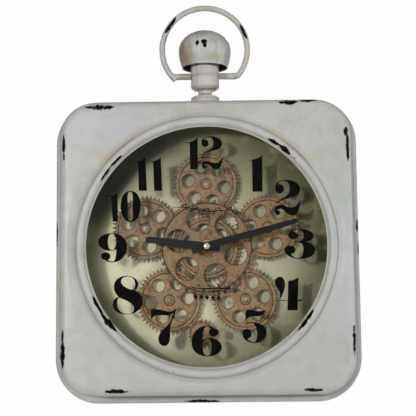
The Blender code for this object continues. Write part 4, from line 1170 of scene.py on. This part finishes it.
def toothed(count, root_r, tip_r, root_width, tip_width, turn=0.0):
    """Outline of a gear with slightly rounded tooth tips; the first tooth points along +X, then turned counter-clockwise."""
    points = []
    shoulder = root_r + (tip_r - root_r) * 0.86
    shoulder_width = root_width + (tip_width - root_width) * 0.86
    for k in range(count):
        middle = 2 * math.pi * k / count + math.radians(turn)
        for radius, width, side in (
            (root_r, root_width * 1.12, -1),
            (root_r + (tip_r - root_r) * 0.16, root_width * 0.93, -1),
            (shoulder, shoulder_width, -1),
            (tip_r, tip_width * 0.66, -1),
            (tip_r, tip_width * 0.66, 1),
            (shoulder, shoulder_width, 1),
            (root_r + (tip_r - root_r) * 0.16, root_width * 0.93, 1),
            (root_r, root_width * 1.12, 1),
        ):
            a = middle + side * math.asin(min(0.99, width / 2 / radius))
            points.append((radius * math.cos(a), radius * math.sin(a)))
    return points


def shifted(loop, centre):
    return [(x + centre[0], z + centre[1]) for x, z in loop]


def gear(name, node, body, centre, outline, groove_r, front, thickness, holes, hub, bore, material, recess=0.35):
    """A toothed rim, a web set back a little inside it, round windows and a turned hub."""
    rear = front + thickness
    rim = outline_mesh([shifted(outline, centre), circle(groove_r + 0.35, 120, centre)], front, rear, 0.16)
    loops = [circle(groove_r - 0.35, 120, centre)] + [circle(r, 44, (centre[0] + h[0], centre[1] + h[1])) for h, r in holes] + [circle(bore, 48, centre)]
    web = outline_mesh(loops, front + recess * 0.4, rear - recess * 0.4, 0.22, 2)
    # the floor of the ring groove
    band = lathe(
        [(groove_r - 0.6, front + recess + 0.7), (groove_r + 0.6, front + recess + 0.7), (groove_r + 0.6, rear - recess - 0.7), (groove_r - 0.6, rear - recess - 0.7)],
        120,
        closed=True,
        centre=centre,
    )
    shapes = [rim, web, band]
    if hub:
        shapes.append(lathe(hub, 64, closed=True, centre=centre))
    verts, faces = merge(*shapes)
    obj = new_object(name, verts, faces, material, 35.0, origin=at(centre[0], (front + rear) / 2, centre[1]))
    finish_piece(obj, body, "antique_copper", node)
    return obj


def hub_profile(outer, front, rear, bore):
    return [
        (outer, rear - 0.3), (outer - 0.3, rear), (bore, rear), (bore, front),
        (outer - 1.1, front), (outer - 0.35, front + 0.25), (outer, front + 0.8),
    ]


PLANET_ANGLES = (90.0, 162.0, 234.0, 306.0, 18.0)
PLANET_TURNS = (48.75, 42.75, 6.75, 8.25, 54.75)
PLANETS = [polar(80.0, a) for a in PLANET_ANGLES]
PINION = polar(40.0 + 80.0 / 48 * 20 / 2, -46.5, PLANETS[2])
TRAIN = dict(root_width=2.75, tip_width=1.35)
for i, (spot, turn) in enumerate(zip(PLANETS, PLANET_TURNS), 1):
    holes = [(polar(22.7, 60 * k + turn), 7.8) for k in range(6)]
    gear(
        "planet_wheel_%d" % i, "planet_gear_%d" % i, "planet_%d" % i, spot,
        toothed(48, 38.0, 41.45, turn=turn, **TRAIN), 34.0, 34.2, 3.0, holes,
        hub_profile(6.2, 33.3, 38.1, 3.05), 5.2, COPPER_PLANET[i - 1],
    )
gear(
    "sun_wheel", "sun_gear", "center_wheel", (0.0, 0.0),
    toothed(48, 38.0, 41.45, **TRAIN), 34.0, 34.2, 3.0,
    [(polar(22.7, 42 + 60 * k), 7.8) for k in range(6)],
    hub_profile(9.0, 31.55, 37.1, 5.35), 8.0, COPPER_SUN,
)
gear(
    "center_wheel_front", "center_gear", "center_wheel", (0.0, 0.0),
    toothed(36, 56.0, 60.0, 6.2, 3.6), 54.9, 28.2, 3.0,
    [(polar(36.2, 46.6 + 60 * k), 14.2) for k in range(6)],
    None, 5.4, COPPER_FRONT,
)
gear(
    "pinion_wheel", "drive_pinion", "pinion", PINION,
    toothed(20, 80.0 / 48 * 10 - 2.0, 80.0 / 48 * 10 + 1.45, 2.7, 1.25, turn=14.7), 12.6, 34.2, 3.0, [],
    None, 1.8, COPPER_PINION,
)


def slotted_screw(name, node, body, centre, radius, tip, head_rear, slot_turn, material, slot_name, tail=None):
    """Pan head with a sawn slot; the shank below it goes where the hidden part of the screw is."""
    height = head_rear - tip
    head = [(0.0, tip)]
    head += [(radius * math.sin(math.radians(t)), tip + height * 0.62 * (1 - math.cos(math.radians(t)))) for t in range(12, 91, 13)]
    head += [(radius, head_rear - 0.25), (radius - 0.25, head_rear)]
    if tail:
        head += [(tail[0], head_rear), (tail[0], tail[1] - 0.3), (tail[0] - 0.3, tail[1])]
    head += [(0.0, head[-1][1])]
    obj = turned(name, head, material, 48, centre=centre, angle=45.0)
    low = (centre[0] - radius * 1.2, tip - 1.0, centre[1] - radius * 0.13)
    high = (centre[0] + radius * 1.2, tip + height * 0.52, centre[1] + radius * 0.13)
    boolean(obj, block("cutter", low, high, math.radians(-slot_turn)))
    smooth_of(obj.data, 40.0)
    finish_piece(obj, body, slot_name, node)
    return obj


for i, spot in enumerate(PLANETS, 1):
    slotted_screw("gear_screw_head_%d" % i, "gear_screw_%d" % i, "case", spot, 3.3, 30.2, 32.7, (20, 75, 130, 5, 48)[i - 1], SCREW, "zinc_steel", tail=(1.2, 41.2))
slotted_screw("pinion_shaft_head", "pinion_shaft", "pinion", PINION, 3.0, 32.7, 33.9, 35, SCREW, "zinc_steel", tail=(1.5, 55.0))

# ------------------------------------------------------------------ hands, nut and collar


def hand_outline(length, tail, root_half, tip_half, hub_r):
    """Straight tapering baton with a rounded tip, a small swelling at the hub and a tail."""
    points = []
    swell = hub_r
    a = math.degrees(math.asin(min(0.95, root_half / swell)))
    points += [(tip_half, length - tip_half)]
    points += [(tip_half * math.cos(math.radians(t)), length - tip_half + tip_half * math.sin(math.radians(t))) for t in (30, 60, 90, 120, 150)]
    points += [(-tip_half, length - tip_half)]
    points += [(swell * math.cos(math.radians(t)), swell * math.sin(math.radians(t))) for t in [90 + a + (180 - 2 * a) * i / 10 for i in range(11)]]
    tail_half = root_half * 0.96
    points += [(-tail_half, -tail + 1.0), (-tail_half + 0.8, -tail), (tail_half - 0.8, -tail), (tail_half, -tail + 1.0)]
    points += [(swell * math.cos(math.radians(t)), swell * math.sin(math.radians(t))) for t in [-90 + a + (180 - 2 * a) * i / 10 for i in range(11)]]
    return points


def turned_cw(points, degrees):
    a = math.radians(degrees)
    return [(x * math.cos(a) + z * math.sin(a), -x * math.sin(a) + z * math.cos(a)) for x, z in points]


def hand(name, node, body, outline, turn, front, rear, bore):
    verts, faces = outline_mesh([turned_cw(outline, turn), circle(bore, 32)], front, rear, 0.22, 2)
    obj = new_object(name, verts, faces, BLACK, 35.0)
    finish_piece(obj, body, "black_steel", node)
    return obj


hand("minute_baton", "minute_hand", "minute", hand_outline(116.0, 19.0, 4.9, 3.1, 5.6), 74.9, 9.9, 10.9, 1.7)
hand("hour_baton", "hour_hand", "hour", hand_outline(75.5, 16.0, 5.0, 3.9, 5.9), 277.2, 13.0, 14.0, 2.8)
nut = [(0.0, 6.6), (1.2, 6.65), (2.4, 6.8), (3.4, 7.2), (3.95, 7.8), (4.1, 8.4), (4.1, 9.4), (3.9, 9.6), (0.0, 9.6)]
obj = turned("hand_nut_domed", nut, NUT, 64, angle=50.0)
finish_piece(obj, "minute", "brass_parts", "hand_nut")
flat = 8.4
hexa = circle(flat, 6, start=10.0)
verts, faces = outline_mesh([circle(8.4, 96), circle(4.4, 48)], 25.0, 27.1, 0.35, 3)
collar = new_object("collar_nut_round", verts, faces, COPPER_COLLAR, 35.0)
finish_piece(collar, "case", "brass_parts", "collar_nut")

# ------------------------------------------------------------------ CAD nodes that stay, with their finishes


def keep(names, material, bevel=0.0, segments=2):
    for name in names:
        node = NODES[name]
        node.data.materials.clear()
        node.data.materials.append(material)
        smooth_of(node.data, 30.0)
        if bevel:
            m = node.modifiers.new("edge", "BEVEL")
            m.width = bevel * MM
            m.segments = segments
            m.limit_method = "ANGLE"
            m.angle_limit = math.radians(35)
            m.harden_normals = False


KEPT = [
    (DIAL, ["dial_plate"]),
    (PAINT_BACK, ["back_cover", "service_lid"]),
    (ZINC, ["hanger_plate", "crown_stud", "crown_nut", "hour_tube", "minute_arbor"]),
    (ZINC, ["cover_screw_%d" % i for i in (1, 2, 3, 4)] + ["dial_post_%d" % i for i in (1, 2, 3, 4)]),
    (BLACK, ["glass_retainer"]),
    (BRASS, ["gear_post_%d" % i for i in (1, 2, 3, 4, 5)] + ["center_pillar", "movement_bushing"]),
    (RUBBER, ["bumper_1", "bumper_2"]),
    (PLASTIC, ["movement_housing", "battery_holder", "switch_body", "switch_slider"]),
    (GREY_PLASTIC, ["setting_knob"]),
    (WRAP, ["clock_battery", "gear_battery"]),
    (ZINC, ["gear_motor"]),
]
for material, names in KEPT:
    keep(names, material)

# ------------------------------------------------------------------ camera, light and floor

camera = bpy.data.cameras.new("camera")
camera.lens = 93.15
camera.sensor_width = 36.0
camera.clip_start = 0.05
camera.clip_end = 60.0
eye = bpy.data.objects.new("camera", camera)
yaw, pitch, roll = 0.0147310, 0.1170019, -0.0114234
forward = Vector((-math.sin(yaw) * math.cos(pitch), math.cos(yaw) * math.cos(pitch), math.sin(pitch)))
right = forward.cross(Vector((0, 0, 1))).normalized()
up = right.cross(forward)
right, up = (
    right * math.cos(roll) + up * math.sin(roll),
    up * math.cos(roll) - right * math.sin(roll),
)
eye.matrix_world = Matrix(
    (
        (right.x, up.x, -forward.x, 0.021543),
        (right.y, up.y, -forward.y, -1.367),
        (right.z, up.z, -forward.z, -0.107218),
        (0, 0, 0, 1),
    )
)
scene.collection.objects.link(eye)
scene.camera = eye


def softbox(name, degrees, height, distance, size, power, colour=(1.0, 1.0, 1.0), size_y=None):
    light = bpy.data.lights.new(name, "AREA")
    light.shape = "RECTANGLE"
    light.size = size
    light.size_y = size_y or size
    light.energy = power
    light.color = colour
    obj = bpy.data.objects.new(name, light)
    a = math.radians(degrees)
    obj.location = (math.sin(a) * distance, -math.cos(a) * distance, height)
    aim = Vector((0.0, 0.0, 0.05)) - obj.location
    obj.rotation_euler = aim.to_track_quat("-Z", "Y").to_euler()
    scene.collection.objects.link(obj)
    return obj


softbox("key", -25.0, 0.36, 4.2, 0.3, 54.0, (1.0, 0.995, 0.98))
softbox("key_soft", -19.5, 0.4, 4.2, 1.5, 29.0, (1.0, 0.998, 0.99), 1.1)
softbox("fill_right", 38.0, 0.45, 2.8, 1.2, 17.0, (0.985, 0.992, 1.0))
softbox("side_right", 86.0, 0.3, 2.8, 1.0, 20.0, (0.97, 0.985, 1.0))
softbox("side_left", -86.0, 0.3, 2.8, 1.0, 1.0)
softbox("fill_top", 4.0, 2.3, 1.6, 1.3, 10.0)
softbox("back", 180.0, 0.7, 2.8, 1.8, 44.0)

world = bpy.data.worlds.new("studio")
scene.world = world
world.use_nodes = True
tree = world.node_tree
background = tree.nodes["Background"]
background.inputs["Color"].default_value = (1.0, 1.0, 1.0, 1.0)
seen = tree.nodes.new("ShaderNodeLightPath")
strength = tree.nodes.new("ShaderNodeMix")
strength.data_type = "FLOAT"
strength.inputs[3].default_value = 0.99
# the surrounding light is a little stronger from above than from below
direction = tree.nodes.new("ShaderNodeTexCoord")
parts = tree.nodes.new("ShaderNodeSeparateXYZ")
tree.links.new(direction.outputs["Generated"], parts.inputs[0])
sky = tree.nodes.new("ShaderNodeMapRange")
sky.inputs["From Min"].default_value = -0.6
sky.inputs["From Max"].default_value = 0.8
sky.inputs["To Min"].default_value = 0.02
sky.inputs["To Max"].default_value = 0.12
tree.links.new(parts.outputs["Z"], sky.inputs["Value"])
tree.links.new(sky.outputs["Result"], strength.inputs[2])
tree.links.new(seen.outputs["Is Camera Ray"], strength.inputs[0])
tree.links.new(strength.outputs[0], background.inputs["Strength"])

floor_material = Graph("studio_floor")
tone = floor_material.noise(2.0, 3.0, 0.5)
floor_material.link(floor_material.mix(tone, srgb(244, 244, 243), srgb(238, 238, 237)), floor_material.shader.inputs["Base Color"])
floor_material.shader.inputs["Roughness"].default_value = 0.8
floor_material.shader.inputs["Emission Color"].default_value = (1.0, 1.0, 1.0, 1.0)
path_ray = floor_material.node("ShaderNodeLightPath")
floor_material.link(floor_material.math("MULTIPLY", path_ray.outputs["Is Camera Ray"], floor_material.lerp(tone, 0.62, 0.68)), floor_material.shader.inputs["Emission Strength"])
bm = bmesh.new()
bmesh.ops.create_grid(bm, x_segments=2, y_segments=2, size=12.0)
mesh = bpy.data.meshes.new("studio_floor")
bm.to_mesh(mesh)
bm.free()
floor = bpy.data.objects.new("studio_floor", mesh)
floor.location = (0.0, 0.0, -1.4)
mesh.materials.append(floor_material.material)
scene.collection.objects.link(floor)

scene.view_settings.view_transform = "Standard"
scene.view_settings.look = "None"

bpy.context.view_layer.update()
